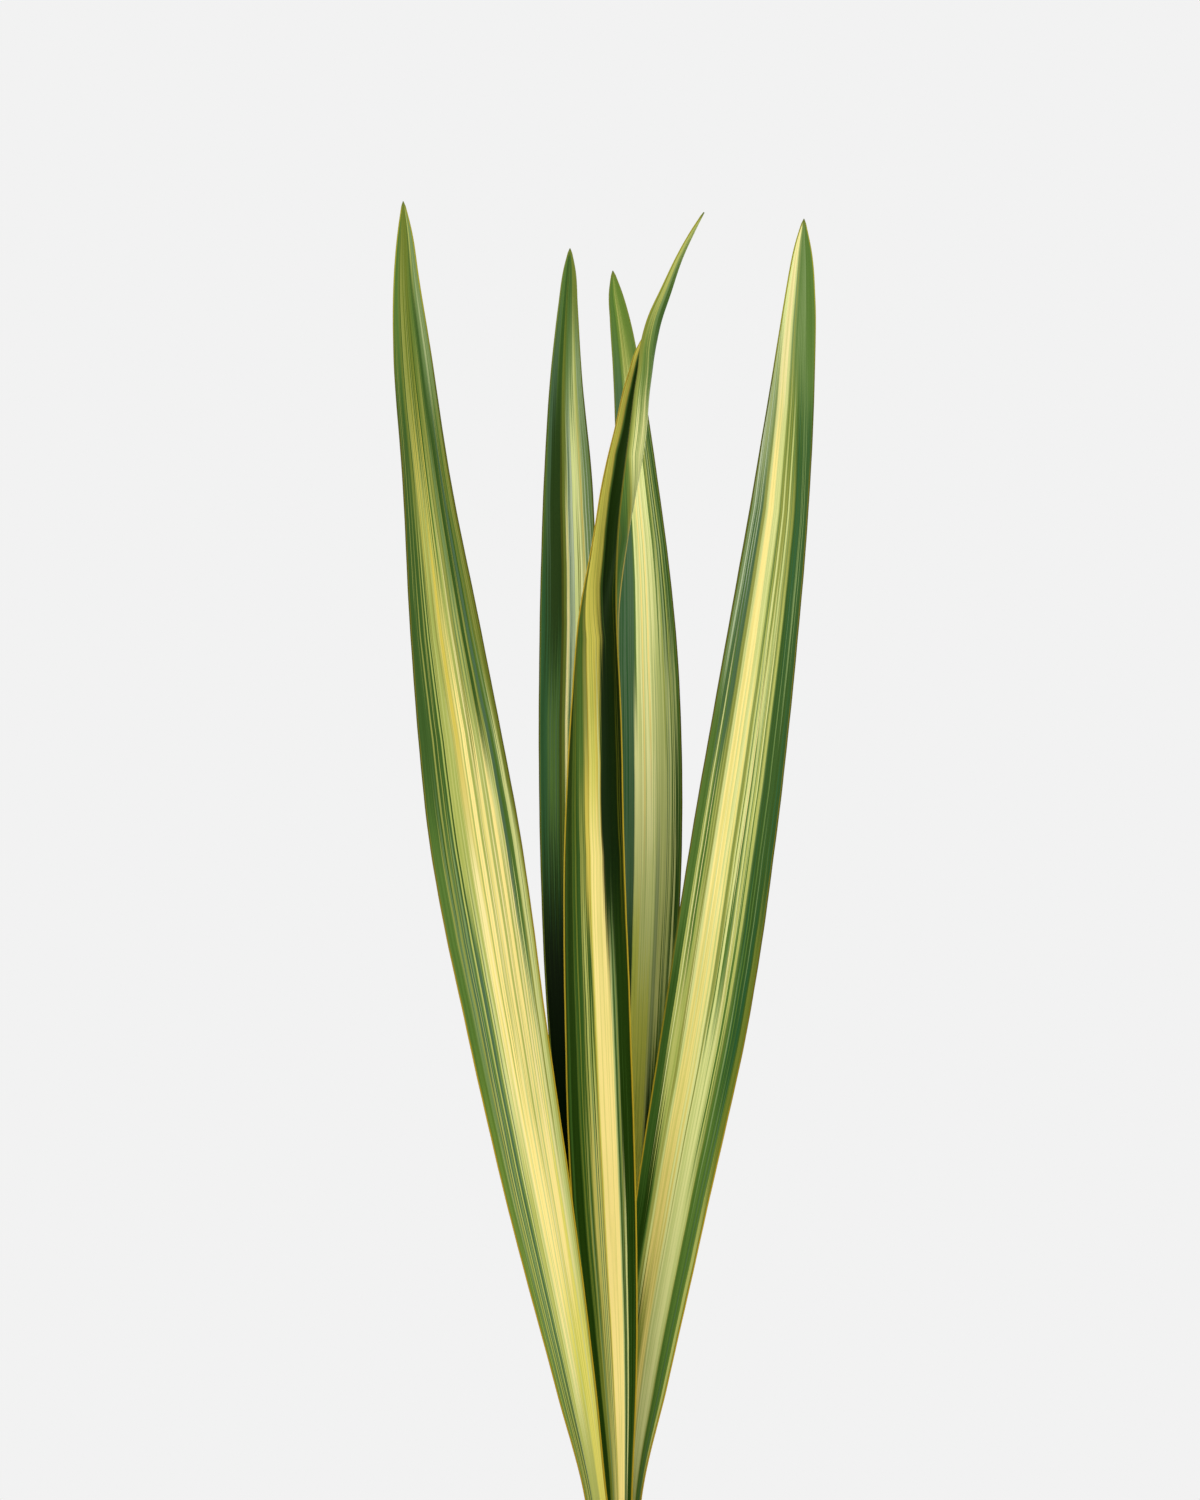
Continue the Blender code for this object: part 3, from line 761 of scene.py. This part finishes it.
def leaf_material(leaf, seed):
    """A striped living blade: pigment stripes with some painted shade, painted light and painted sheen among
    them, fine veins, thin coloured margins and a dry tip.
    """
    graph = Graph(f"{leaf.node}_blade")
    across, rise, side, edge, tip = map(graph.attribute, ("across", "rise", "side", "edge", "tip"))
    sway = graph.noise(graph.along(across, rise, SWAY_RATES, seed))
    across = graph.plus(across, graph.times(graph.plus(sway, -0.5), SWAY))
    fray = graph.noise(graph.place(graph.times(across, FRAY_RATE), seed, 0.0))
    ragged = graph.plus(rise, graph.times(graph.plus(fray, -0.5), FRAY))
    colour = striped(graph, across, ragged, leaf.stripes, seed)
    if leaf.under:
        under = striped(graph, across, ragged, leaf.under, seed + UNDER_SEED, UNDER_WIDTH)
        colour = graph.mix(graph.attribute("under"), colour, under)
    veins = graph.noise(graph.along(across, rise, VEIN_RATES, seed), detail=0)
    colour = graph.mix(graph.step(veins, *VEIN_LEVELS), colour, VEIN_SHADE, "MULTIPLY")
    cloud = graph.noise(graph.along(across, rise, CLOUD_RATES, seed))
    colour = graph.mix(graph.step(cloud, *CLOUD_LEVELS), colour, CLOUD_SHADE, "MULTIPLY")
    at_left, at_right = leaf.margins
    change = graph.times(graph.step(side, -0.1, 0.1), (at_right - at_left) * MM)
    above = graph.math("SUBTRACT", rise, graph.plus(change, at_left * MM))
    margin = graph.mix(graph.step(above, -MARGIN_CHANGE, MARGIN_CHANGE), MARGIN_GOLD, DARK_OLIVE)
    margin = graph.mix(graph.step(tip, *GOLD_TIP), margin, TIP_GOLD if at_left else OLIVE)
    bronzed = graph.times(graph.step(edge, *BRONZE_EDGE), graph.step(rise, *BRONZE_TOP))
    colour = graph.mix(bronzed, colour, RUSSET if at_left else OLIVE)
    colour = graph.mix(graph.step(edge, *MARGIN_EDGE), colour, margin)
    colour = graph.mix(graph.step(tip, *DRY_TIP), colour, OLIVE)
    graph.bump(veins, 0.2, VEIN_DEPTH)
    graph.shader.inputs["Specular Tint"].default_value = SHEEN_TINT
    return graph.finish(colour, LEAF_ROUGHNESS, graph.times(graph.step(rise, *SHEEN_RISE), SHEEN))


def smooth_rows(stations, count):
    """Evenly spaced rows along a smooth curve through the stations."""
    points = np.array(stations, dtype=float)
    steps = np.linalg.norm(np.diff(points[:, :3], axis=0), axis=1)
    knots = np.concatenate([[0.0], np.cumsum(steps)])
    slopes = np.gradient(points, knots, axis=0)
    lengths = np.linspace(0, knots[-1], count)
    start = np.clip(np.searchsorted(knots, lengths, side="right") - 1, 0, len(knots) - 2)
    gap = (knots[start + 1] - knots[start])[:, None]
    t = (lengths - knots[start])[:, None] / gap
    rows = ((2 * t**3 - 3 * t**2 + 1) * points[start] + (t**3 - 2 * t**2 + t) * gap * slopes[start]
            + (3 * t**2 - 2 * t**3) * points[start + 1] + (t**3 - t**2) * gap * slopes[start + 1])
    rows[:, :4] *= MM
    rows[:, 4:] = np.radians(rows[:, 4:])
    return rows


def half_curves(half, heading, turning, shares):
    """One half of every row's section from the keel out: places across and forwards of the keel."""
    fold = np.copysign(1.0, turning)[:, None] * KEEL_FOLD * np.tanh(shares / KEEL_FOLD_REACH)
    angle = heading[:, None] + fold + turning[:, None] * shares
    middle = (angle[:, 1:] + angle[:, :-1]) / 2
    steps = np.diff(shares) * half[:, None]
    start = np.zeros((len(half), 1))
    across = np.hstack([start, np.cumsum(-np.sin(middle) * steps, axis=1)])
    forward = np.hstack([start, np.cumsum(np.cos(middle) * steps, axis=1)])
    return np.stack([across, forward], axis=2)


def blade_mesh(name, stations, row_count, half_columns, grow=0.0, top=None, fine=True, seed=0):
    """One blade as a closed mesh with its places across, up, from the margin and from the tip."""
    rows = smooth_rows(stations, row_count)
    if top:
        rows = rows[rows[:, 0] < top]
        rows[0, 0] -= grow
    height, half, turn, left_bend, right_bend = rows[:, 0], rows[:, 3], rows[:, 4], rows[:, 5], rows[:, 6]
    keel = np.stack([rows[:, 1], rows[:, 2], height], axis=1)
    lengths = np.concatenate([[0.0], np.cumsum(np.linalg.norm(np.diff(keel, axis=0), axis=1))])
    from_tip = lengths[-1] - lengths
    rng = np.random.default_rng(seed)
    if fine:
        ends = np.clip(1 - from_tip / TIP_ROUND, 0, 1)
        waves = sum(np.sin(lengths * rate + rng.uniform(0, WAVE_SHIFT)) * size for rate, size in MARGIN_WAVES)
        half = half * (1 + waves) * np.sqrt(np.maximum(1 - ends**2, LEAST_POINT))
        inner = np.linspace(0, MARGIN_SHARES[0], half_columns + 1 - len(MARGIN_SHARES))
        shares = np.concatenate([inner, MARGIN_SHARES[1:]])
    else:
        shares = np.linspace(0, 1, half_columns)
    left = half_curves(half, turn + math.pi / 2, -left_bend, shares)
    right = half_curves(half, turn - math.pi / 2, right_bend, shares)
    curve = np.concatenate([left[:, :0:-1], right], axis=1)
    along = np.gradient(curve, axis=1)
    along /= np.linalg.norm(along, axis=2)[:, :, None]
    side = np.concatenate([-shares[:0:-1], shares])
    curve[:, 0] -= along[:, 0] * grow
    curve[:, -1] += along[:, -1] * grow
    base = np.maximum(0.0, 1 - height / BASE_EXTRA_TOP)
    thick = (MARGIN_THICK + (KEEL_THICK - MARGIN_THICK) * (1 - np.abs(side))**2)[None, :]
    narrowing = np.minimum(1.0, NARROW_THIN + rows[:, 3] / NARROW)
    thick = (thick + BASE_EXTRA_THICK * base[:, None]) * narrowing[:, None]
    thick = np.maximum(thick, LEAST_THICK)
    ribs = np.zeros((2, len(side)))
    if fine:
        thick = thick * np.interp(np.abs(side), *MARGIN_THINS)[None, :]
        raw = rng.uniform(-1, 1, (2, len(side) + len(RIB_WINDOW) - 1))
        ribs = np.stack([np.convolve(face, RIB_WINDOW, "valid") for face in raw])
        ribs *= RIB_HEIGHT * (1 - np.abs(side)**8)
    normal = np.stack([-along[:, :, 1], along[:, :, 0]], axis=2)
    faces_2d = [curve + normal * (thick / 2 + grow + ribs[0])[:, :, None],
                curve - normal * (thick / 2 + grow + ribs[1])[:, :, None]]
    tangent = np.gradient(keel, axis=0)
    tangent /= np.linalg.norm(tangent, axis=1)[:, None]
    facing = np.array([0.0, -1.0, 0.0]) - tangent * -tangent[:, 1:2]
    facing /= np.linalg.norm(facing, axis=1)[:, None]
    aside = np.cross(tangent, facing)
    sheets = [keel[:, None] + aside[:, None] * flat[:, :, :1] + facing[:, None] * flat[:, :, 1:]
              for flat in faces_2d]
    corners = np.concatenate([sheet.reshape(-1, 3) for sheet in sheets])
    count, width = len(rows), len(side)
    index = np.arange(count * width).reshape(count, width)
    lower = index + count * width

    def quads(a, b, c, d):
        return np.stack([a.ravel(), b.ravel(), c.ravel(), d.ravel()], axis=1)

    faces = np.concatenate([
        quads(index[:-1, :-1], index[:-1, 1:], index[1:, 1:], index[1:, :-1]),
        quads(lower[:-1, :-1], lower[1:, :-1], lower[1:, 1:], lower[:-1, 1:]),
        quads(index[:-1, 0], index[1:, 0], lower[1:, 0], lower[:-1, 0]),
        quads(index[:-1, -1], lower[:-1, -1], lower[1:, -1], index[1:, -1]),
        quads(index[0, :-1], lower[0, :-1], lower[0, 1:], index[0, 1:]),
        quads(index[-1, :-1], index[-1, 1:], lower[-1, 1:], lower[-1, :-1]),
    ])
    mesh = new_mesh(name, corners, faces.tolist())
    facts = {
        "share": np.tile((side + 1) / 2, (count, 1)),
        "rise": np.tile(height[:, None], (1, width)),
        "side": np.tile(side, (count, 1)),
        "edge": half[:, None] * (1 - np.abs(side)),
        "tip": np.tile(from_tip[:, None], (1, width)),
    }
    x = sheets[0][:, :, 0]
    low, high = x.min(axis=1, keepdims=True), x.max(axis=1, keepdims=True)
    facts["seen"] = (x - low) / np.maximum(high - low, 1e-9)
    return mesh, facts


def new_mesh(name, corners, faces):
    """A mesh from corner places and faces, turned outwards."""
    mesh = bpy.data.meshes.new(name)
    mesh.from_pydata(corners.tolist(), [], faces)
    shell = bmesh.new()
    shell.from_mesh(mesh)
    bmesh.ops.recalc_face_normals(shell, faces=shell.faces)
    shell.to_mesh(mesh)
    shell.free()
    return mesh


def put(name, data, material=None):
    """An object in the scene with a mesh, lamp or lens, and the mesh's material."""
    thing = bpy.data.objects.new(name, data)
    bpy.context.scene.collection.objects.link(thing)
    if material:
        data.materials.append(material)
    return thing


def set_fact(mesh, name, values):
    """Keep a value for each corner of the mesh, for its material."""
    mesh.attributes.new(name, "FLOAT", "POINT").data.foreach_set("value", np.asarray(values, "f").ravel())


def drifted(across, rise, drift):
    """Places across the blade, moved by a drift at their heights."""
    heights, shifts = np.array(drift, dtype=float).T
    return across + np.interp(rise, heights * MM, shifts)


def build_leaf(leaf, seed):
    """A leaf's fine blade with real ribs, margins and point, in place of its plain solid."""
    mesh, facts = blade_mesh(f"{leaf.node}_blade", leaf.stations, BLADE_ROWS, BLADE_COLUMNS, seed=seed)
    across = facts["seen"] if leaf.framed else facts["share"]
    upper = drifted(across, facts["rise"], leaf.drift)
    lower = upper if leaf.framed else drifted(across, facts["rise"], UNDER_DRIFT)
    set_fact(mesh, "across", np.concatenate([upper, lower]))
    for name in ("rise", "side", "edge", "tip"):
        set_fact(mesh, name, np.concatenate([facts[name], facts[name]]))
    set_fact(mesh, "under", np.concatenate([np.zeros_like(across), np.ones_like(across)]))
    mesh.shade_smooth()
    blade = put(f"{leaf.node}_blade", mesh, leaf_material(leaf, seed))
    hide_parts(leaf.node)
    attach(blade, "root")


def outer_radius(height):
    """The pot's tapering outside, without its rim."""
    return POT_FOOT_RADIUS + (POT_TOP_RADIUS - POT_FOOT_RADIUS) * height / POT_HEIGHT


def inner_radius(height):
    """The pot's tapering inside."""
    return outer_radius(height) - WALL


def arc(centre_radius, centre_height, radius, start, end):
    """Profile points on an arc, from the start angle to the end angle in degrees."""
    angles = np.radians(np.linspace(start, end, ARC_STEPS + 1))
    return [(centre_radius + radius * math.cos(a), centre_height + radius * math.sin(a)) for a in angles]


def wall(radius_at, start, end, mark):
    """Profile points along a wall, with the faint rings that turning leaves in the clay."""
    heights = np.linspace(start, end, WALL_STEPS + 2)[1:-1]
    rings = np.sin(heights / MM * FINE_TURNING) * 0.5 + np.sin(heights / MM * SLOW_TURNING + 1.2)
    return [(radius_at(h) + mark * r, h) for h, r in zip(heights, rings)]


def cut_away(body, cutters):
    """Take the cutters out of the body for good."""
    for cutter in cutters:
        cut = body.modifiers.new(cutter.name, "BOOLEAN")
        cut.operation = "DIFFERENCE"
        cut.solver = "EXACT"
        cut.object = cutter
    bpy.context.view_layer.update()
    evaluated = body.evaluated_get(bpy.context.evaluated_depsgraph_get())
    finished = bpy.data.meshes.new_from_object(evaluated)
    body.modifiers.clear()
    body.data = finished
    for cutter in cutters:
        bpy.data.objects.remove(cutter)


def clay_material():
    """Unglazed terracotta: uneven firing, fine grit, turning lines, pale mineral bloom and damp foot."""
    graph = Graph("terracotta")
    where = graph.object_place()
    parts = graph.add("SeparateXYZ")
    graph.feed(parts.inputs[0], where)
    x, y, up = parts.outputs
    firing = graph.noise(where, scale=9, detail=3)
    colour = graph.mix(graph.step(firing, 0.35, 0.65), CLAY_DEEP, CLAY_BRIGHT)
    mottle = graph.noise(where, scale=42, detail=6, roughness=0.68)
    colour = graph.mix(graph.times(graph.step(mottle, 0.42, 0.75), 0.6), colour, CLAY_MOTTLE)
    grit = graph.noise(where, scale=900)
    colour = graph.mix(graph.step(grit, 0.64, 0.72), colour, CLAY_GRIT_PALE)
    colour = graph.mix(graph.step(grit, 0.36, 0.28), colour, CLAY_GRIT_DARK)
    lines = graph.noise(graph.place(0, 0, graph.times(up, 900)))
    colour = graph.mix(graph.times(graph.step(lines, 0.5, 0.7), 0.25), colour, CLAY_LINE)
    run = graph.place(graph.times(x, 34), graph.times(y, 34), graph.times(up, 7))
    runs = graph.noise(run, detail=5, roughness=0.65)
    patches = graph.noise(where, scale=24, detail=6, roughness=0.66)
    veil = graph.times(graph.plus(runs, patches), 0.5)
    rim = graph.times(graph.step(up, *SALT_RIM), 0.7)
    foot = graph.times(graph.step(up, *SALT_FOOT), 0.8)
    reach = graph.plus(graph.math("MAXIMUM", rim, foot), 0.2)
    salt = graph.times(graph.step(veil, 0.47, 0.62), reach)
    colour = graph.mix(graph.times(salt, 0.62), colour, SALT)
    low = graph.plus(up, graph.times(veil, 0.02))
    colour = graph.mix(graph.times(graph.step(low, *DAMP_FOOT), 0.35), colour, CLAY_DAMP)
    pits = graph.noise(where, scale=420, detail=3, roughness=0.6)
    graph.bump(graph.plus(graph.times(pits, 0.6), graph.times(lines, 0.4)), 0.5, 0.5 * MM)
    return graph.finish(colour, 0.88, 0.25)


def build_pot():
    """A tapering clay pot with a thick rim, rounded edges, turning marks and drain holes."""
    rim_bottom = POT_HEIGHT - RIM_HEIGHT
    rim_radius = POT_TOP_RADIUS + RIM_PROUD
    lip = POT_HEIGHT - LIP_ROUND
    inside_top = inner_radius(POT_HEIGHT)
    profile = arc(outer_radius(FOOT_ROUND) - FOOT_ROUND, FOOT_ROUND, FOOT_ROUND, -90, 0)
    profile += wall(outer_radius, FOOT_ROUND, rim_bottom, TURNING_MARK)
    profile += [(outer_radius(rim_bottom), rim_bottom)]
    profile += arc(rim_radius - LIP_ROUND, rim_bottom + LIP_ROUND, LIP_ROUND, -60, 0)
    profile += wall(lambda h: rim_radius, rim_bottom + LIP_ROUND, lip, TURNING_MARK / 2)[::3]
    profile += arc(rim_radius - LIP_ROUND, lip, LIP_ROUND, 0, 90)
    profile += arc(inside_top + LIP_ROUND, lip, LIP_ROUND, 90, 180)
    profile += wall(inner_radius, lip, POT_FLOOR, TURNING_MARK)
    profile += [(inner_radius(POT_FLOOR), POT_FLOOR)]
    profile = np.array(profile)
    angles = math.tau * np.arange(POT_SIDES) / POT_SIDES
    corners = np.stack([profile[:, :1] * np.cos(angles), profile[:, :1] * np.sin(angles),
                        np.repeat(profile[:, 1:], POT_SIDES, axis=1)], axis=2).reshape(-1, 3)
    rings = np.arange(len(corners)).reshape(len(profile), POT_SIDES)
    after = np.roll(rings, -1, axis=1)
    faces = np.stack([rings[:-1], after[:-1], after[1:], rings[1:]], axis=2).reshape(-1, 4).tolist()
    faces += [rings[0].tolist(), rings[-1].tolist()]
    pot = put("clay_pot", new_mesh("clay_pot", corners, faces), clay_material())
    drains = []
    for count in range(DRAIN_COUNT):
        angle = math.tau * (count + 0.5) / DRAIN_COUNT
        drain = bmesh.new()
        bmesh.ops.create_cone(drain, cap_ends=True, segments=DRAIN_SIDES, radius1=DRAIN_RADIUS,
                              radius2=DRAIN_RADIUS, depth=4 * POT_FLOOR)
        hole = bpy.data.meshes.new("drain")
        drain.to_mesh(hole)
        drain.free()
        cutter = put(f"drain_{count}", hole)
        cutter.location = Vector((math.cos(angle), math.sin(angle), 0)) * DRAIN_RING
        drains.append(cutter)
    cut_away(pot, drains)
    pot.data.shade_smooth()
    pot.data.set_sharp_from_angle(angle=POT_SHARP)
    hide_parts("pot")
    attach(pot, "root")


def soil_height(x, y):
    """The soil's surface: a low mound with slow unevenness."""
    reach = math.hypot(x, y) / inner_radius(SOIL_TOP)
    rough = math.sin(x / MM / 11 + 0.7) * math.cos(y / MM / 14) + math.sin(y / MM / 8 - x / MM / 19)
    return SOIL_TOP + SOIL_CROWN * (1 - 2 * reach * reach) + SOIL_ROUGH * rough / 2


def crumbly_height(x, y):
    """The soil's surface with its crumbs."""
    spot = Vector((x / MM, y / MM, 0.0))
    crumbs = noise.noise(spot / LUMP_SIZE) * 0.6 + noise.noise(spot / CRUMB_SIZE) * 0.4
    return soil_height(x, y) + LUMP_HEIGHT * crumbs


def soil_material():
    """Dark potting mix: black peat, brown bark of several shades, pale grit and fibres by kind."""
    graph = Graph("potting_mix")
    where = graph.object_place()
    kind = graph.attribute("kind")
    fine = graph.noise(where, scale=260, detail=4, roughness=0.65)
    peat = graph.mix(graph.step(fine, 0.35, 0.7), PEAT_DARK, PEAT_PALE)
    grain = graph.noise(where, scale=330, detail=4, roughness=0.6)
    bark = graph.mix(graph.step(grain, 0.35, 0.68), BARK_DARK, BARK_PALE)
    bark = graph.mix(graph.math("FRACT", graph.times(kind, 7.0)), bark, BARK_OLD)
    pale = graph.mix(graph.noise(where, scale=500, detail=3), GRIT_GREY, GRIT_WHITE)
    colour = graph.mix(graph.step(kind, 0.5, 0.6), peat, bark)
    colour = graph.mix(graph.step(kind, 1.9, 1.95), colour, pale)
    graph.bump(graph.noise(where, scale=700, detail=4, roughness=0.7), 0.8, 0.8 * MM)
    return graph.finish(colour, 0.95, 0.2)


def crumb(rng, size, stretch):
    """Corner places and triangles of one irregular crumb."""
    shell = bmesh.new()
    bmesh.ops.create_icosphere(shell, subdivisions=1, radius=1.0)
    spots = np.array([corner.co[:] for corner in shell.verts])
    faces = np.array([[corner.index for corner in face.verts] for face in shell.faces])
    shell.free()
    spots *= rng.uniform(*PIECE_SIZES, (len(spots), 1)) * np.array(stretch) * size
    tilt, spin = rng.normal(0, PIECE_TILT), rng.uniform(0, math.tau)
    lean = np.array([[1, 0, 0], [0, math.cos(tilt), -math.sin(tilt)], [0, math.sin(tilt), math.cos(tilt)]])
    yaw = np.array([[math.cos(spin), -math.sin(spin), 0], [math.sin(spin), math.cos(spin), 0], [0, 0, 1]])
    return spots @ lean.T @ yaw.T, faces


def near_a_leaf(x, y, room):
    """Whether a place on the soil is within some room of where a blade enters it."""
    for leaf in LEAVES:
        _, right, back, half, *_ = leaf.stations[1]
        if abs(x - right * MM) < half * MM + room and abs(y - back * MM) < 2 * MM + room:
            return True
    return False


def build_soil():
    """Potting mix: a crumbly body with a slot for each blade, strewn with bark, grit and fibres."""
    bottom = POT_FLOOR + GAP
    top_edge = inner_radius(SOIL_TOP - 2 * SOIL_CROWN) - GAP
    angles = math.tau * np.arange(SOIL_SIDES) / SOIL_SIDES
    radii = [inner_radius(bottom) - GAP] + [top_edge * ring / SOIL_RINGS for ring in range(SOIL_RINGS, 0, -1)]
    corners = [(0, 0, bottom), (0, 0, crumbly_height(0, 0))]
    for number, radius in enumerate(radii):
        for angle in angles:
            x, y = radius * math.cos(angle), radius * math.sin(angle)
            corners.append((x, y, bottom if number == 0 else crumbly_height(x, y)))
    rings = 2 + np.arange(len(radii) * SOIL_SIDES).reshape(len(radii), SOIL_SIDES)
    after = np.roll(rings, -1, axis=1)
    zero = np.zeros(SOIL_SIDES, int)
    faces = np.concatenate([
        np.stack([zero, after[0], rings[0]], axis=1),
        np.stack([zero + 1, rings[-1], after[-1]], axis=1),
        np.stack([rings[:-1], after[:-1], after[1:]], axis=2).reshape(-1, 3),
        np.stack([rings[:-1], after[1:], rings[1:]], axis=2).reshape(-1, 3),
    ])
    mesh = new_mesh("potting_mix", np.array(corners, dtype=float), faces.tolist())
    soil = put("potting_mix", mesh, soil_material())
    slots = []
    for leaf in LEAVES:
        slot, _ = blade_mesh(f"slot_{leaf.node}", leaf.stations, SLOT_ROWS, SLOT_COLUMNS, grow=GAP,
                             top=SLOT_TOP, fine=False)
        slots.append(put(f"slot_{leaf.node}", slot))
    cut_away(soil, slots)
    strew(soil, top_edge)
    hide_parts("soil")
    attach(soil, "root")


def strew(soil, top_edge):
    """Bark chips, pale grit and fibres half sunk in the soil's surface, in one mesh with it."""
    rng = np.random.default_rng(SEED)
    mesh = soil.data
    corners = np.empty(len(mesh.vertices) * 3)
    mesh.vertices.foreach_get("co", corners)
    spots = [corners.reshape(-1, 3)]
    faces = [tuple(face.vertices) for face in mesh.polygons]
    kinds = [np.zeros(len(mesh.vertices))]
    total = len(mesh.vertices)
    for count, (small, large), stretch, kind in STREWN:
        for _ in range(count):
            size = rng.uniform(small, large) * MM
            reach = (top_edge - 1.2 * size) * math.sqrt(rng.uniform(0, 1))
            angle = rng.uniform(0, math.tau)
            x, y = reach * math.cos(angle), reach * math.sin(angle)
            shape, sides = crumb(rng, size, stretch)
            shade = rng.uniform(0, BARK_SHADES)
            if near_a_leaf(x, y, size + LEAF_ROOM):
                continue
            spots.append(shape + (x, y, crumbly_height(x, y) + 0.1 * size))
            faces += (sides + total).tolist()
            kinds.append(np.full(len(shape), kind + shade * (kind < GRIT_KIND)))
            total += len(shape)
    joined = bpy.data.meshes.new("potting_mix_strewn")
    joined.from_pydata(np.concatenate(spots).tolist(), [], faces)
    joined.materials.append(mesh.materials[0])
    set_fact(joined, "kind", np.concatenate(kinds))
    joined.shade_smooth()
    joined.set_sharp_from_angle(angle=SOIL_SHARP)
    soil.data = joined


def build_stage():
    """A pale floor that fades into the pale surroundings, soft studio lights and the camera."""
    floor = bmesh.new()
    bmesh.ops.create_circle(floor, cap_ends=True, segments=FLOOR_SIDES, radius=FLOOR_RADIUS)
    mesh = bpy.data.meshes.new("floor")
    floor.to_mesh(mesh)
    floor.free()
    graph = Graph("pale_floor")
    reach = graph.add("VectorMath", operation="LENGTH")
    graph.feed(reach.inputs[0], graph.object_place())
    grain = graph.noise(graph.object_place(), scale=60, detail=3)
    graph.finish(graph.mix(graph.times(grain, 0.15), FLOOR_PALE, FLOOR_DULL), 0.7, 0.2)
    graph.feed(graph.shader.inputs["Alpha"], graph.step(reach.outputs["Value"], *FLOOR_FADE))
    put("floor", mesh, graph.material)

    world = bpy.context.scene.world or bpy.data.worlds.new("studio")
    bpy.context.scene.world = world
    world.use_nodes = True
    tree = world.node_tree
    tree.nodes.clear()
    kinds = ("Background", "Background", "LightPath", "MixShader", "OutputWorld")
    seen, lit, rays, either, out = (tree.nodes.new(f"ShaderNode{kind}") for kind in kinds)
    seen.inputs["Color"].default_value = (PALE_GREY, PALE_GREY, PALE_GREY, 1.0)
    lit.inputs["Color"].default_value = (1.0, 1.0, 1.0, 1.0)
    lit.inputs["Strength"].default_value = AMBIENT
    tree.links.new(rays.outputs["Is Camera Ray"], either.inputs[0])
    tree.links.new(lit.outputs[0], either.inputs[1])
    tree.links.new(seen.outputs[0], either.inputs[2])
    tree.links.new(either.outputs[0], out.inputs[0])

    for name, spot, size, power, colour in LAMPS:
        lamp = bpy.data.lights.new(name, "AREA")
        lamp.shape = "DISK"
        lamp.size = size
        lamp.energy = power
        lamp.color = colour
        thing = put(name, lamp)
        thing.location = spot
        thing.rotation_euler = (Vector(LAMP_AIM) - Vector(spot)).to_track_quat("-Z", "Y").to_euler()

    lens = bpy.data.cameras.new("camera")
    lens.sensor_fit = "VERTICAL"
    lens.sensor_height = SENSOR_HEIGHT
    lens.lens = SENSOR_HEIGHT * -CAMERA_PLACE[1] / VIEW_HEIGHT
    lens.clip_end = CLIP_END
    camera = put("camera", lens)
    camera.location = CAMERA_PLACE
    camera.rotation_euler = (math.pi / 2, 0, 0)
    bpy.context.scene.camera = camera
    bpy.context.scene.view_settings.view_transform = "Standard"


def main():
    build_stage()
    for number, leaf in enumerate(LEAVES):
        build_leaf(leaf, SEED + 10 * number)
    build_pot()
    build_soil()


main()
